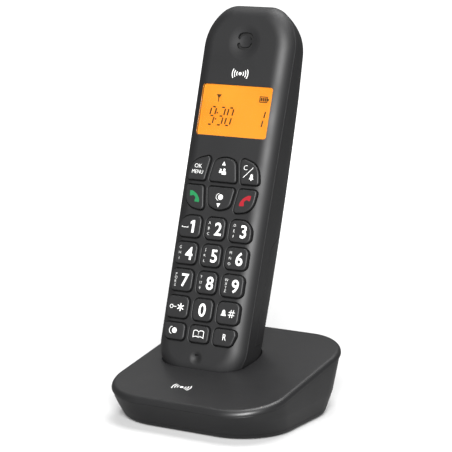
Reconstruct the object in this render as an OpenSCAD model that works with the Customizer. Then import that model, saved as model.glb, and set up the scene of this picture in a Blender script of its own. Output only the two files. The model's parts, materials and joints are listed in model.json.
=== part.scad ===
/* [Handset] */
// Length of the handset
phone_len = 166; // [150:1:200]
// Width of the handset at its shoulders
phone_w = 45.8; // [42:0.2:56]
// Thickness of the handset at the battery cover
phone_t = 26; // [24.5:0.5:31.5]
// How much narrower each side is at the foot than at the shoulders
phone_taper = 1.3; // [0:0.1:1.8]
// Thickness of the handset's shells
phone_wall = 1.8; // [1.5:0.1:2.1]
// Distance of the parting line behind the front face
split_depth = 5.6; // [5.2:0.1:6.4]

/* [Display] */
// Width of the display window
window_w = 35.3; // [30:0.1:37]
// Height of the display window
window_h = 22.7; // [18:0.1:24]
// Thickness of the display window
window_t = 0.9; // [0.6:0.1:1.1]

/* [Keys] */
// Width of the keys in the middle column
key_w = 9.8; // [8:0.1:10.4]
// Height of the digit keys
key_h = 9.5; // [7.5:0.1:9.8]
// How far the keys stand out of the front face
key_proud = 0.8; // [0.3:0.1:1.2]
// How far a key can be pressed
key_travel = 0.7; // [0.3:0.1:0.8]
// Gap around each key in the front shell
key_gap = 0.4; // [0.3:0.05:0.45]

/* [Batteries] */
// Diameter of an AAA cell
cell_d = 10.5; // [10:0.1:10.5]
// Length of an AAA cell
cell_len = 44.5; // [43:0.1:44.5]
// Thickness of the battery cover
cover_wall = 1.5; // [1.2:0.1:1.8]

/* [Base] */
// Width of the base at its upper edge
base_w = 83.6; // [74:0.5:110]
// Depth of the base at its upper edge
base_d = 86; // [76:0.5:110]
// Height of the upper edge at the front
base_front_h = 13.8; // [12:0.2:18]
// Height of the upper edge at the back
base_back_h = 29.2; // [25:0.2:36]
// Thickness of the base's walls
base_wall = 2; // [1.6:0.1:2.4]
// Height of the rubber feet under the bottom plate
foot_h = 0.5; // [0.4:0.1:2]

/* [Cradle] */
// Angle at which the handset leans back
lean = 17.15; // [12:0.05:20]
// Sideways place of the handset on the base
phone_side = -11; // [-14:0.5:2]
// Height of the handset's front foot edge above the ground
seat_h = 15.4; // [14:0.1:18]
// Distance of the handset's front foot edge behind the base's front
seat_back = 32.1; // [28:0.1:40]
// Gap around the handset in the cradle
dock_gap = 0.5; // [0.4:0.1:0.8]

/* [Hidden] */
$fn = 48;

// Colours
charcoal = [0.17, 0.17, 0.18];
key_black = [0.12, 0.12, 0.13];
silver = [0.75, 0.75, 0.76];
board_green = [0.1, 0.35, 0.2];

// Stretch of the handset's layout when its length or width changes
nominal_len = 166;
nominal_w = 45.8;
along = phone_len / nominal_len;
across = phone_w / nominal_w;

// Rounding of the handset's outline and edges
crown_r = 13;
shoulder_r = 25;
foot_r = 15;
edge_in = 3.1;
edge_deep = 5;
end_in = 2.5;
back_in = 6.5;
back_from = 12.5;
side_slope = 0.3;
back_foot_r = 6;
back_top_r = 15;
top_t = phone_t - 5.5;
// The back is bowed along its length, and is deepest at this height
bow_r = 1100;
bow_z = 50 * along;
taper_angle = atan(phone_taper / phone_len);

// Layers behind the front face, from front to back
window_sink = 0.15;
flange_t = 0.7;
flange_rim = 0.55;
flange_top = phone_wall + 0.1;
pad_top = flange_top + flange_t + key_travel + 0.1;
mat_front = pad_top + 0.45;
board_front = 4.7;
board_t = 1.6;
board_back = board_front + board_t;
lcd_front = phone_wall + 0.2;

// Heights above the handset's foot
ear_z = 149.4 * along;
window_z = 118.2 * along;
nav_z = 85.35 * along;
first_row_z = 65.9 * along;
row_pitch = 11.9 * along;
last_row_z = 19.6 * along;
last_row_h = 7.2;
mic_z = 9.3 * along;
screw_z = 11 * along;
board_top_z = 138 * along;

// Columns of keys, measured from the middle of the handset
side_key_in = 7.3 * across;
side_key_out = 18.2 * across;
screw_u = 12 * across;

// Battery compartment
cover_side = back_from;
cover_gap = 0.15;
cover_shoulder_z = 58.8 * along;
cover_rise = 0.83 * (phone_t - cover_side);
cell_z = 22.2;
cell_u = cell_d / 2 + 0.35;
cell_back = phone_t - cover_wall - 1.2;
cell_mid = cell_back - cell_d / 2;
tray_wall = 0.9;
tray_u = cell_d + 1;
tray_floor = cell_back - cell_d - 0.3;
// The tray's floor always reaches the deck beside it
tray_front = min(tray_floor - tray_wall, cover_side - 0.9);
spring_len = 3;
plate_t = 0.5;
tray_low = cell_z - plate_t - 0.3;
tray_high = cell_z + cell_len + spring_len + plate_t + 0.3;
deck_t = 1.2;

// Charging pads and contacts
pad_u = 8 * across;
pad_w = 4;
pad_m = 11.5;
pad_len = 4.6;
pad_t = 0.7;

// Base
top_slope = (base_back_h - base_front_h) / base_d;
plate_top = foot_h + 2;
front_inset = 6.4;
back_inset = 9.5;
side_inset = 2.4;
corner_top_r = 21.7;
corner_low_r = 23.5;
wall_curve = 1.2;
seam_gap = 0.1;
boss_x = base_w / 2 - 12;
boss_front_y = -base_d / 2 + 21;
boss_back_y = base_d / 2 - 17;
boss_r = 3.2;
pilot_r = 1.2;
thread_r = 1.15;
base_board_z = 5.6;
jack_z = base_board_z + board_t;
jack_h = 11;
jack_face_y = base_d / 2 - 5;
jack_deep = 13;
line_jack_x = base_w / 2 - 23;
power_jack_x = line_jack_x - 17;
line_socket_w = 9.8;
power_socket_w = 7.8;
socket_h = 6.6;
socket_deep = 10;
page_x = -base_w / 2 + 21;
page_z = 15;
page_r = 3.5;

// The whole object stands centred on its own bounding box
back_reach = (phone_len - back_top_r) * sin(lean) + (top_t - back_top_r) * cos(lean) + back_top_r;
seat_y = -base_d / 2 + seat_back;
front_reach = base_d / 2 - corner_top_r * (1 - cos(atan(top_slope)));
centre_y = (seat_y + back_reach - front_reach) / 2;

// Points along an arc round c, from angle a to angle b
function arc(c, r, a, b, n = 6) =
    [for (i = [0:n]) let (t = a + (b - a) * i / n) c + [r[0] * cos(t), r[1] * sin(t)]];

// The list of points with its mirror image in the second axis added
function both_sides(half) =
    concat(half, [for (i = [len(half) - 1:-1:0]) [-half[i][0], half[i][1]]]);

function unit(v) = v / norm(v);
function right_of(v) = [v[1], -v[0]];

// A polygon with a radius at each corner, grown outwards by g. A corner is [x, y, radius].
function rounded(corners, g = 0, n = 6) = [
    for (i = [0:len(corners) - 1])
        let (
            count = len(corners),
            before = corners[(i + count - 1) % count],
            here = corners[i],
            after = corners[(i + 1) % count],
            go_in = unit([here[0] - before[0], here[1] - before[1]]),
            go_out = unit([after[0] - here[0], after[1] - here[1]]),
            n_in = right_of(go_in),
            n_out = right_of(go_out),
            turn = acos(min(1, max(-1, go_in * go_out))),
            tip = [here[0], here[1]] + g * (n_in + n_out) / (1 + n_in * n_out),
            r = here[2] + g,
            centre = tip - r * tan(turn / 2) * go_in - r * n_in,
            start = atan2(n_in[1], n_in[0])
        )
        for (k = [0:n]) centre + r * [cos(start + turn * k / n), sin(start + turn * k / n)]
];

// Corners of an upright rectangle with one radius
function box_corners(x0, x1, y0, y1, r) = [[x0, y0, r], [x1, y0, r], [x1, y1, r], [x0, y1, r]];

// Corners mirrored to the left side, kept anticlockwise
function to_left(corners) =
    [for (i = [len(corners) - 1:-1:0]) [-corners[i][0], corners[i][1], corners[i][2]]];

// Moves from the handset's own axes, x across, y into it and z up its length, to the base's
module in_handset() {
    translate([phone_side, seat_y - centre_y, seat_h]) rotate([-lean, 0, 0]) children();
}

// Moves the base so that the whole object is centred
module in_base() {
    translate([0, -centre_y, 0]) children();
}

// Extrudes a shape drawn on the handset's face from depth a to depth b behind the face
module through_face(a, b) {
    translate([0, b, 0]) rotate([90, 0, 0]) linear_extrude(b - a) children();
}

// Outline of the handset's two ends seen from the front, grown by g
function face_outline(g) = let (
    spare = 0.3,
    shoulder_c = [phone_w / 2 + spare - shoulder_r, phone_len - crown_r - (shoulder_r - crown_r) * sin(45)],
    crown_c = shoulder_c + (shoulder_r - crown_r) * [cos(45), sin(45)],
    foot_c = [phone_w / 2 + spare - phone_taper - foot_r, foot_r]
) both_sides(concat(
    arc(foot_c, [foot_r + g, foot_r + g], -90, 0),
    arc(shoulder_c, [shoulder_r + g, shoulder_r + g], 0, 45),
    arc(crown_c, [crown_r + g, crown_r + g], 45, 90)
));

// Front bevel and flat side of the right half of the section, depth as its second axis
function front_section(g) = let (
    half = phone_w / 2,
    lip = [half - edge_in + 0.3 * g, -g],
    bevel = [half - 2 + 0.75 * g, 0.45 - 0.95 * g],
    ahead = 5,
    start = lip - (bevel - lip) * ahead / (bevel[1] - lip[1])
) [
    [-phone_w, start[1]], start, bevel,
    [half + g, edge_deep], [half - side_slope + g, phone_t + g + 5], [-phone_w, phone_t + g + 5]
];

// Rounded back of the section, as distance from the bow's axis against width
function back_section(g) = let (half = phone_w / 2, far = bow_r - phone_t, near = far - 8) let (
    right = concat(
        [[near, half + 4], [far + edge_deep + 1, half + 4]],
        [for (p = arc([half - side_slope - back_in, back_from], [back_in + g, phone_t - back_from + g], 0, 90))
            [far + p[1], p[0]]]
    )
) concat(right, [for (i = [len(right) - 1:-1:0]) [right[i][0], -right[i][1]]]);

// Side view of the handset's two ends, depth against height, grown by g
function side_profile(g) = concat(
    arc([edge_deep, end_in], [edge_deep + g + 0.4, end_in + g], 180, 270),
    arc([phone_t - back_foot_r, back_foot_r], [back_foot_r + g, back_foot_r + g], -90, 0),
    [[phone_t + g + 1, phone_len * 0.2], [phone_t + g + 1, phone_len * 0.6]],
    arc([top_t - back_top_r, phone_len - back_top_r], [back_top_r + g, back_top_r + g], 0, 90, 8),
    arc([edge_deep, phone_len - end_in], [edge_deep + g + 0.4, end_in + g], 90, 180)
);

// Limit of the handset's right side, leaning in towards the foot
module right_side(g) {
    slack = abs(g) + 3;
    translate([0, 0, phone_len]) rotate([0, taper_angle, 0]) translate([0, 0, -phone_len - slack])
        linear_extrude(phone_len + 2 * slack) polygon(front_section(g));
}

// Limit of the handset's bowed back
module bowed_back(g) {
    translate([0, phone_t - bow_r, bow_z]) rotate([90, 0, 90]) rotate(-6)
        rotate_extrude(angle = 16, $fn = 720) polygon(back_section(g));
}

// The handset's full form, grown by g
module phone_form(g) {
    slack = abs(g) + 1;
    intersection() {
        through_face(-g, phone_t + slack) polygon(face_outline(g));
        translate([-phone_w / 2 - slack, 0, 0]) rotate([90, 0, 90])
            linear_extrude(phone_w + 2 * slack) polygon(side_profile(g));
        right_side(g);
        mirror([1, 0, 0]) right_side(g);
        bowed_back(g);
    }
}

// Everything between two depths behind the face
module depth_slab(a, b) {
    translate([-phone_w, a, -5]) cube([2 * phone_w, b - a, phone_len + 10]);
}

// Height on the handset of the base's upper face, at a depth behind the handset's face
function base_line(m) = let (
    // slope of the base's face along the handset's own axes
    rise = (sin(lean) + top_slope * cos(lean)) / (cos(lean) - top_slope * sin(lean)),
    lip = (base_front_h + top_slope * seat_back - seat_h) / (cos(lean) - top_slope * sin(lean))
) lip + rise * m;

// Space that the battery cover fills, made smaller by g. Its lower edge rises less than the way
// along which the cover slides out, and its upper edge rises more.
module cover_zone(g) {
    low = 4;
    bottom_rise = 0.3;
    bottom_z = base_line(phone_t) + low + g;
    sweep = 30;
    long_r = (phone_t - cover_side) / (1 - cos(sweep));
    high_r = cover_rise / sin(sweep);
    translate([-phone_w, 0, 0]) rotate([90, 0, 90]) linear_extrude(2 * phone_w) polygon(concat(
        [[cover_side + g, bottom_z - bottom_rise * (phone_t - cover_side)]],
        [[phone_t + 2, bottom_z + bottom_rise * 2]],
        arc([cover_side + long_r, cover_shoulder_z - g], [long_r - g, high_r], 180 - sweep - 3, 180, 10)
    ));
}

// Outlines of the keys

nav_scale = [across, along];
function nav(points) =
    [for (p = points) [p[0] * nav_scale[0], nav_z + p[1] * nav_scale[1], p[2]]];
up_corners = nav([[-7, 1.25, 1.2], [7, 1.25, 1.2], [4.9, 10.9, 1.6], [0, 12.3, 6], [-4.9, 10.9, 1.6]]);
down_corners = nav([[-5.4, -9.9, 1.6], [0, -11.5, 6], [5.4, -9.9, 1.6], [6.9, -1.15, 1.2], [-6.9, -1.15, 1.2]]);
clear_corners = nav([[9.2, 1.2, 1.2], [18.2, 1.2, 1.2], [16.9, 9.7, 4.5], [7.3, 12.7, 1.5]]);
end_corners = nav([[7.4, -11.9, 1.5], [16.9, -10.7, 4.5], [18, -1.15, 1.2], [9, -1.15, 1.2]]);

// A digit key's corners: side is -1, 0 or 1, row counts down from the row under the cluster
function digit_corners(side, row) = let (
    z = first_row_z - row * row_pitch,
    h = key_h / 2 * along,
    shoulder = row == 0 ? 3.6 : 1.9,
    right = [
        [side_key_in, z - h, 1.9], [side_key_out, z - h, 1.9],
        [side_key_out, z + h, shoulder], [side_key_in, z + h, 1.9]
    ],
    half = key_w / 2 * across
) side == 0 ? box_corners(-half, half, z - h, z + h, 1.9) : side > 0 ? right : to_left(right);

// A bottom-row key's corners
function foot_key_corners(side) = let (
    h = last_row_h / 2 * along,
    right = [
        [side_key_in, last_row_z - h, 1.8], [side_key_out - 1.6, last_row_z - h, 2.6],
        [side_key_out, last_row_z + h * 0.4, 1.6], [side_key_out - 0.4, last_row_z + h, 1.4],
        [side_key_in, last_row_z + h, 1.8]
    ],
    half = key_w / 2 * across
) side == 0 ? box_corners(-half, half, last_row_z - h, last_row_z + h, 1.8)
    : side > 0 ? right : to_left(right);

ALL_KEYS = concat(
    [up_corners, down_corners, clear_corners, end_corners, to_left(clear_corners), to_left(end_corners)],
    [for (row = [0:3], side = [-1:1]) digit_corners(side, row)],
    [for (side = [-1:1]) foot_key_corners(side)]
);

// Middle of a list of corners
function middle(corners) = let (
    xs = [for (c = corners) c[0]],
    zs = [for (c = corners) c[1]]
) [(min(xs) + max(xs)) / 2, (min(zs) + max(zs)) / 2];

// A key cap with the flange that keeps it behind the front shell
module key(corners) {
    color(key_black) in_handset() {
        through_face(-key_proud, flange_top + 0.1) polygon(rounded(corners));
        through_face(flange_top, flange_top + flange_t) polygon(rounded(corners, flange_rim));
    }
}

// A round post or hole that runs into the handset from depth a to depth b
module post(u, z, r, a, b) {
    translate([u, a, z]) rotate([-90, 0, 0]) cylinder(r = r, h = b - a);
}

// Handset pieces

boss_end = 9;
counterbore_m = 15;

module front_shell() {
    ear_sink_r = 68;
    ear_sink = 0.6;
    mic_sink = 0.5;
    color(charcoal) in_handset() difference() {
        union() {
            intersection() {
                difference() {
                    phone_form(0);
                    phone_form(-phone_wall);
                }
                depth_slab(-1, split_depth);
            }
            for (side = [-1, 1]) post(side * screw_u, screw_z, 2.6, phone_wall - 0.2, boss_end);
        }
        for (side = [-1, 1]) post(side * screw_u, screw_z, pilot_r, 3, boss_end + 1);
        // display opening, with the ledge that the window is stuck to
        through_face(-1, window_sink + window_t)
            polygon(rounded(box_corners(-window_w / 2, window_w / 2,
                window_z - window_h / 2, window_z + window_h / 2, 1.2), 0.1));
        through_face(-1, phone_wall + 1)
            polygon(rounded(box_corners(-window_w / 2, window_w / 2,
                window_z - window_h / 2, window_z + window_h / 2, 1.8), -1.1));
        for (corners = ALL_KEYS) {
            through_face(-1, phone_wall + 1) polygon(rounded(corners, key_gap));
            through_face(phone_wall, pad_top + 0.2) polygon(rounded(corners, flange_rim + 0.2));
        }
        // hollow of the ear rest and its two curved slots
        translate([0, ear_sink - ear_sink_r, ear_z]) sphere(r = ear_sink_r, $fn = 96);
        through_face(-1, phone_wall + 1) translate([0, ear_z]) difference() {
            circle(r = 4.1);
            circle(r = 3.2);
            square([9, 2.4], center = true);
        }
        // microphone hollow and hole
        post(0, mic_z, 2.85, -1, mic_sink);
        translate([-0.9, -1, mic_z + 1.1]) cube([1.8, phone_wall + 2, 0.6]);
    }
}

module rear_shell() {
    color(charcoal) in_handset() difference() {
        union() {
            intersection() {
                difference() {
                    phone_form(0);
                    phone_form(-phone_wall);
                    cover_zone(0);
                }
                depth_slab(split_depth, phone_t + 1);
            }
            // deck beside the cells, under the cover
            intersection() {
                phone_form(-phone_wall / 2);
                translate([-phone_w, cover_side - deck_t, 12])
                    cube([2 * phone_w, deck_t - 0.2, cover_shoulder_z + cover_rise - 8]);
            }
            // walls of the battery tray
            translate([-tray_u - tray_wall, tray_front, tray_low - tray_wall])
                cube([2 * (tray_u + tray_wall), cell_back - 0.5 - tray_front,
                    tray_high - tray_low + 2 * tray_wall]);
            for (side = [-1, 1]) intersection() {
                phone_form(-0.2);
                post(side * screw_u, screw_z, 3.7, boss_end, phone_t);
            }
        }
        translate([-tray_u, tray_floor, tray_low])
            cube([2 * tray_u, phone_t, tray_high - tray_low]);
        for (side = [-1, 1]) {
            post(side * screw_u, screw_z, 1.4, boss_end - 1, phone_t);
            post(side * screw_u, screw_z, 2.5, counterbore_m, phone_t + 1);
            // seats of the charging pads
            translate([side * pad_u - pad_w / 2, pad_m - pad_len / 2, -1])
                cube([pad_w, pad_len, pad_t + 1]);
        }
        // sound slots over the ringer
        for (i = [-1:1]) translate([-6, phone_t - 4.6, window_z + 3 * i - 0.6]) cube([12, 8, 1.2]);
    }
}

module battery_cover() {
    color(charcoal) in_handset() intersection() {
        difference() {
            phone_form(0);
            phone_form(-cover_wall);
        }
        cover_zone(cover_gap);
    }
}

module display_window() {
    color([1, 0.6, 0.15, 0.6]) in_handset() through_face(window_sink, window_sink + window_t)
        polygon(rounded(box_corners(-window_w / 2, window_w / 2,
            window_z - window_h / 2, window_z + window_h / 2, 1.2)));
}

module lcd_module() {
    color([0.8, 0.5, 0.15]) in_handset()
        translate([-window_w / 2 - 1, lcd_front, window_z - window_h / 2 - 1.6])
        cube([window_w + 2, board_front - lcd_front, window_h + 3.2]);
}

module keypad_mat() {
    half = phone_w / 2 - 3.7;
    low = last_row_z - 6;
    high = nav_z + 13.6 * along;
    color([0.3, 0.3, 0.32]) in_handset() {
        through_face(mat_front, board_front)
            polygon(rounded(box_corners(-half, half, low, high, 3)));
        for (corners = ALL_KEYS)
            post(middle(corners)[0], middle(corners)[1], 2, pad_top, mat_front + 0.1);
    }
}

module main_board() {
    half = phone_w / 2 - 3.5;
    color(board_green) in_handset() difference() {
        through_face(board_front, board_back)
            polygon(rounded([[-half, 5, 8], [half, 5, 8], [half, board_top_z, 2], [-half, board_top_z, 2]]));
        for (side = [-1, 1]) post(side * screw_u, screw_z, 3, board_front - 1, board_back + 1);
    }
}

module rf_shield() {
    color(silver) in_handset() translate([-12, board_back, nav_z - 8]) cube([24, 2.6, 22]);
}

module earpiece() {
    color([0.25, 0.25, 0.26]) in_handset() post(0, ear_z, 8.5, phone_wall + 0.1, 5.4);
}

module ringer() {
    bow = pow(window_z - bow_z, 2) / (2 * bow_r);
    back = phone_t - bow - phone_wall - 0.9;
    color([0.25, 0.25, 0.26]) in_handset() post(0, window_z, 9, back - 4.2, back);
}

module microphone() {
    color(silver) in_handset() post(0, mic_z, 2.6, phone_wall + 0.1, board_front);
}

// A cell standing on its flat end
module cell() {
    button_r = 1.9;
    button_h = 0.8;
    cylinder(r = cell_d / 2, h = cell_len - button_h);
    cylinder(r = button_r, h = cell_len);
}

module battery_cells() {
    // the left cell stands on its button, the right one on its spring
    color([0.2, 0.5, 0.35]) in_handset() {
        translate([-cell_u, cell_mid, cell_z + cell_len]) mirror([0, 0, 1]) cell();
        translate([cell_u, cell_mid, cell_z + spring_len]) cell();
    }
}

// Coil of one compression spring of the battery tray, as three rings joined by a core
module tray_spring() {
    wire = 0.4;
    for (i = [0:2]) translate([0, 0, i * 1.05 + wire])
        rotate_extrude() translate([3.2 - 0.5 * i, 0]) circle(r = wire, $fn = 16);
    cylinder(r = 2.2, h = 0.3);
    for (turn = [0:2]) rotate(120 * turn) translate([2.2, -wire, 0]) cube([0.8, 2 * wire, spring_len - 0.4]);
}

module battery_springs() {
    color(silver) in_handset() {
        translate([-cell_u, cell_mid, cell_z + cell_len + spring_len]) mirror([0, 0, 1]) tray_spring();
        translate([cell_u, cell_mid, cell_z]) tray_spring();
    }
}

module battery_plates() {
    color(silver) in_handset() {
        translate([-cell_u - 4, cell_mid - 4, cell_z - plate_t]) cube([8, 8, plate_t]);
        translate([cell_u - 4, cell_mid - 4, cell_z + spring_len + cell_len]) cube([8, 8, plate_t]);
    }
}

module charge_pad(side) {
    color(silver) in_handset() translate([side * pad_u - pad_w / 2, pad_m - pad_len / 2, 0])
        cube([pad_w, pad_len, pad_t]);
}

module charge_pad_left() {
    charge_pad(-1);
}

module charge_pad_right() {
    charge_pad(1);
}

module handset_screws() {
    color(silver) in_handset() for (side = [-1, 1]) {
        post(side * screw_u, screw_z, thread_r, 4, counterbore_m + 0.1);
        difference() {
            post(side * screw_u, screw_z, 2.2, counterbore_m, counterbore_m + 1.4);
            post(side * screw_u, screw_z, 0.9, counterbore_m + 0.6, counterbore_m + 2, $fn = 6);
        }
    }
}

// Keys, from the top of the pad to its foot
module key_menu() { key(to_left(clear_corners)); }
module key_up() { key(up_corners); }
module key_clear() { key(clear_corners); }
module key_talk() { key(to_left(end_corners)); }
module key_down() { key(down_corners); }
module key_end() { key(end_corners); }
module key_1() { key(digit_corners(-1, 0)); }
module key_2() { key(digit_corners(0, 0)); }
module key_3() { key(digit_corners(1, 0)); }
module key_4() { key(digit_corners(-1, 1)); }
module key_5() { key(digit_corners(0, 1)); }
module key_6() { key(digit_corners(1, 1)); }
module key_7() { key(digit_corners(-1, 2)); }
module key_8() { key(digit_corners(0, 2)); }
module key_9() { key(digit_corners(1, 2)); }
module key_star() { key(digit_corners(-1, 3)); }
module key_0() { key(digit_corners(0, 3)); }
module key_hash() { key(digit_corners(1, 3)); }
module key_intercom() { key(foot_key_corners(-1)); }
module key_book() { key(foot_key_corners(0)); }
module key_recall() { key(foot_key_corners(1)); }

// Base pieces

// Thin discs at the base's four corners at one height: the walls lean in towards the bottom
module base_level(z, g) {
    curve = pow(max(0, 1 - z / base_front_h), wall_curve);
    back_curve = max(0, 1 - z / base_back_h);
    r = corner_top_r + (corner_low_r - corner_top_r) * curve + g;
    half = base_w / 2 - side_inset * curve + g;
    front = -base_d / 2 + front_inset * curve - g;
    back = base_d / 2 - back_inset * back_curve + g;
    for (x = [-1, 1], y = [front + r, back - r])
        translate([x * (half - r), y, z]) cylinder(r = r, h = 0.05, $fn = 60);
}

// The same discs laid on the base's sloping upper face
module base_top(g) {
    r = corner_top_r + g;
    place = base_w / 2 - corner_top_r;
    reach = base_d / 2 - corner_top_r;
    tilt = atan(top_slope);
    translate([0, -base_d / 2, base_front_h + g]) rotate([tilt, 0, 0])
        for (x = [-place, place], y = [-1, 1])
            translate([x, (base_d / 2 + y * reach) / cos(tilt), -0.05]) cylinder(r = r, h = 0.05, $fn = 60);
}

// The base's form above one height, grown by g, up to its sloping upper face
module base_form(g, from) {
    hull() {
        for (z = [from, 5, 7.5, 10]) base_level(z, g);
        base_top(g);
    }
}

module boss_places() {
    for (x = [-boss_x, boss_x], y = [boss_front_y, boss_back_y]) translate([x, y, 0]) children();
}

// A place given on the handset, for shapes drawn among the base's own
module seated() {
    translate([phone_side, seat_y, seat_h]) rotate([-lean, 0, 0]) children();
}

module base_cover() {
    contact_slot = 0.4;
    color(charcoal) in_base() difference() {
        union() {
            difference() {
                base_form(0, plate_top + seam_gap);
                base_form(-base_wall, plate_top);
            }
            // walls and floor of the cradle
            intersection() {
                base_form(-base_wall / 2, plate_top + seam_gap);
                seated() phone_form(dock_gap + base_wall);
            }
            intersection() {
                base_form(-base_wall / 2, plate_top + seam_gap);
                boss_places() translate([0, 0, plate_top + seam_gap]) cylinder(r = boss_r, h = base_back_h);
            }
        }
        difference() {
            seated() phone_form(dock_gap);
            // ribs on the cradle's floor that carry the handset
            seated() for (side = [-1, 1]) translate([side * 3.5 - 0.6, 6, -dock_gap - 1])
                cube([1.2, 10, dock_gap + 0.95]);
        }
        boss_places() cylinder(r = pilot_r, h = base_front_h - 3.4);
        seated() for (side = [-1, 1])
            translate([side * pad_u - pad_w / 2 - contact_slot + 0.5, pad_m - pad_len / 2 - 0.1, -6])
            cube([pad_w - 1 + 2 * contact_slot, pad_len + 0.2, 8]);
        // openings in the back wall
        for (jack = [[line_jack_x, line_socket_w], [power_jack_x, power_socket_w]])
            translate([jack[0] - jack[1] / 2 - 1.9, jack_face_y - 8, jack_z - 0.3])
            cube([jack[1] + 3.8, 16, jack_h + 0.6]);
        translate([page_x, base_d / 2 - 12, page_z]) rotate([-90, 0, 0]) cylinder(r = page_r + 0.3, h = 20);
    }
}

module base_plate() {
    color(charcoal) in_base() difference() {
        hull() for (z = [foot_h, plate_top - 0.05]) base_level(z, 0);
        boss_places() {
            cylinder(r = 1.5, h = 10);
            cylinder(r = 2.6, h = foot_h + 1.1);
        }
        foot_places() cylinder(r = 5.2, h = foot_h + 0.5);
    }
}

module foot_places() {
    for (x = [-1, 1]) {
        translate([x * (base_w / 2 - 21), -base_d / 2 + 20, 0]) children();
        translate([x * (base_w / 2 - 21), base_d / 2 - 18, 0]) children();
    }
}

module base_feet() {
    color([0.1, 0.1, 0.1]) in_base() foot_places() cylinder(r = 5, h = foot_h + 0.5);
}

module base_screws() {
    color(silver) in_base() boss_places() translate([0, 0, foot_h + 0.1]) {
        difference() {
            cylinder(r = 2.3, h = 1);
            translate([0, 0, -1]) cylinder(r = 0.9, h = 1.6, $fn = 6);
        }
        cylinder(r = thread_r, h = base_front_h - 6);
    }
}

module base_board() {
    board_x = base_w / 2 - 6.5;
    board_y = base_d / 2 - 13;
    board_corner = 11;
    well_x = phone_side + phone_w / 2 + dock_gap + base_wall + 1;
    color(board_green) in_base() translate([0, 0, base_board_z]) difference() {
        linear_extrude(board_t) polygon([
            [-board_x + board_corner, board_y - 9], [well_x, board_y - 9], [well_x, -base_d / 4],
            [board_x, -base_d / 4], [board_x, board_y - board_corner],
            [board_x - board_corner, board_y], [-board_x + board_corner, board_y]
        ]);
        boss_places() translate([0, 0, -1]) cylinder(r = boss_r + 0.4, h = 4);
    }
}

module contact(side) {
    blade = pad_w - 1;
    color(silver) in_base() seated() translate([side * pad_u - blade / 2, pad_m - pad_len / 2 + 0.4, 0])
        rotate([90, 0, 90]) linear_extrude(blade) polygon([
            [0, -5.5], [0.5, -5.5], [0.5, -1], [1.2, -0.6], [2.6, -0.6], [3.3, -1], [3.3, -3.5],
            [3.8, -3.5], [3.8, -0.8], [2.9, -0.05], [0.9, -0.05], [0, -0.8]
        ]);
}

module contact_left() {
    contact(-1);
}

module contact_right() {
    contact(1);
}

module page_button() {
    stem = 8;
    color(key_black) in_base() translate([page_x, base_d / 2 - 3, page_z]) rotate([90, 0, 0]) {
        cylinder(r = page_r, h = stem);
        translate([0, 0, stem - 1.2]) cylinder(r = page_r + 1.2, h = 1.2);
    }
}

// A modular socket that opens towards the back
module jack(x, w) {
    outer_w = w + 3.2;
    color([0.15, 0.15, 0.16]) in_base() difference() {
        translate([x - outer_w / 2, jack_face_y - jack_deep, jack_z])
            cube([outer_w, jack_deep, jack_h]);
        translate([x - w / 2, jack_face_y - socket_deep, jack_z + 1.4])
            cube([w, socket_deep + 1, socket_h]);
        // notch for the plug's latch
        translate([x - 1.8, jack_face_y - socket_deep, jack_z + 1.4])
            cube([3.6, socket_deep + 1, socket_h + 1.7]);
    }
}

module line_jack() {
    jack(line_jack_x, line_socket_w);
}

module power_jack() {
    jack(power_jack_x, power_socket_w);
}

front_shell();
rear_shell();
battery_cover();
display_window();
lcd_module();
keypad_mat();
main_board();
rf_shield();
earpiece();
ringer();
microphone();
battery_cells();
battery_springs();
battery_plates();
charge_pad_left();
charge_pad_right();
handset_screws();
key_menu();
key_up();
key_clear();
key_talk();
key_down();
key_end();
key_1();
key_2();
key_3();
key_4();
key_5();
key_6();
key_7();
key_8();
key_9();
key_star();
key_0();
key_hash();
key_intercom();
key_book();
key_recall();
base_cover();
base_plate();
base_board();
contact_left();
contact_right();
page_button();
line_jack();
power_jack();
base_feet();
base_screws();
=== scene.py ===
import json
from math import acos, atan2, cos, pi, radians, sin, sqrt, tan

import bmesh
import bpy
from mathutils import Matrix, Vector


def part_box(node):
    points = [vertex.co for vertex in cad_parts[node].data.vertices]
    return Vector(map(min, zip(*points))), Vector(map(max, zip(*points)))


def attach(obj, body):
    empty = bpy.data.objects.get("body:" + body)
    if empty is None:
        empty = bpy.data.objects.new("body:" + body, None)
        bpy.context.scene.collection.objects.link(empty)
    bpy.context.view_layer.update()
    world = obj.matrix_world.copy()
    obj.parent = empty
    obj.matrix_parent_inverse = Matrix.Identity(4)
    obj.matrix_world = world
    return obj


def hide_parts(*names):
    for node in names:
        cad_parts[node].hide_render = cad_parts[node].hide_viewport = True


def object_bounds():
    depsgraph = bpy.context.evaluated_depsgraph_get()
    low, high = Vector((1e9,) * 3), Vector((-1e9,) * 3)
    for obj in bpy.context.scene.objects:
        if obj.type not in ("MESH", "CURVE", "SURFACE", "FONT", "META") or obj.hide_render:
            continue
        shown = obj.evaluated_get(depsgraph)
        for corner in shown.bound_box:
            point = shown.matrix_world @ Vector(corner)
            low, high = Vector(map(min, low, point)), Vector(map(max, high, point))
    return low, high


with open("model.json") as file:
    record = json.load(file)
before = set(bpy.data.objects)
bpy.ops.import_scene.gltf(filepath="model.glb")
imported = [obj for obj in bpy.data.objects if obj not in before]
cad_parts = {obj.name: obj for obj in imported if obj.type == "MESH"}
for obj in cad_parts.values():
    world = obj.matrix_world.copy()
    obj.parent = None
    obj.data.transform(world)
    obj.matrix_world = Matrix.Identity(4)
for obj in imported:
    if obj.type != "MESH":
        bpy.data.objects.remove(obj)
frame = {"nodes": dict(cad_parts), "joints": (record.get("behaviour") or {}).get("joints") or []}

MM = 0.001
cad_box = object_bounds()
bpy.ops.object.select_all(action="DESELECT")

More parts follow.
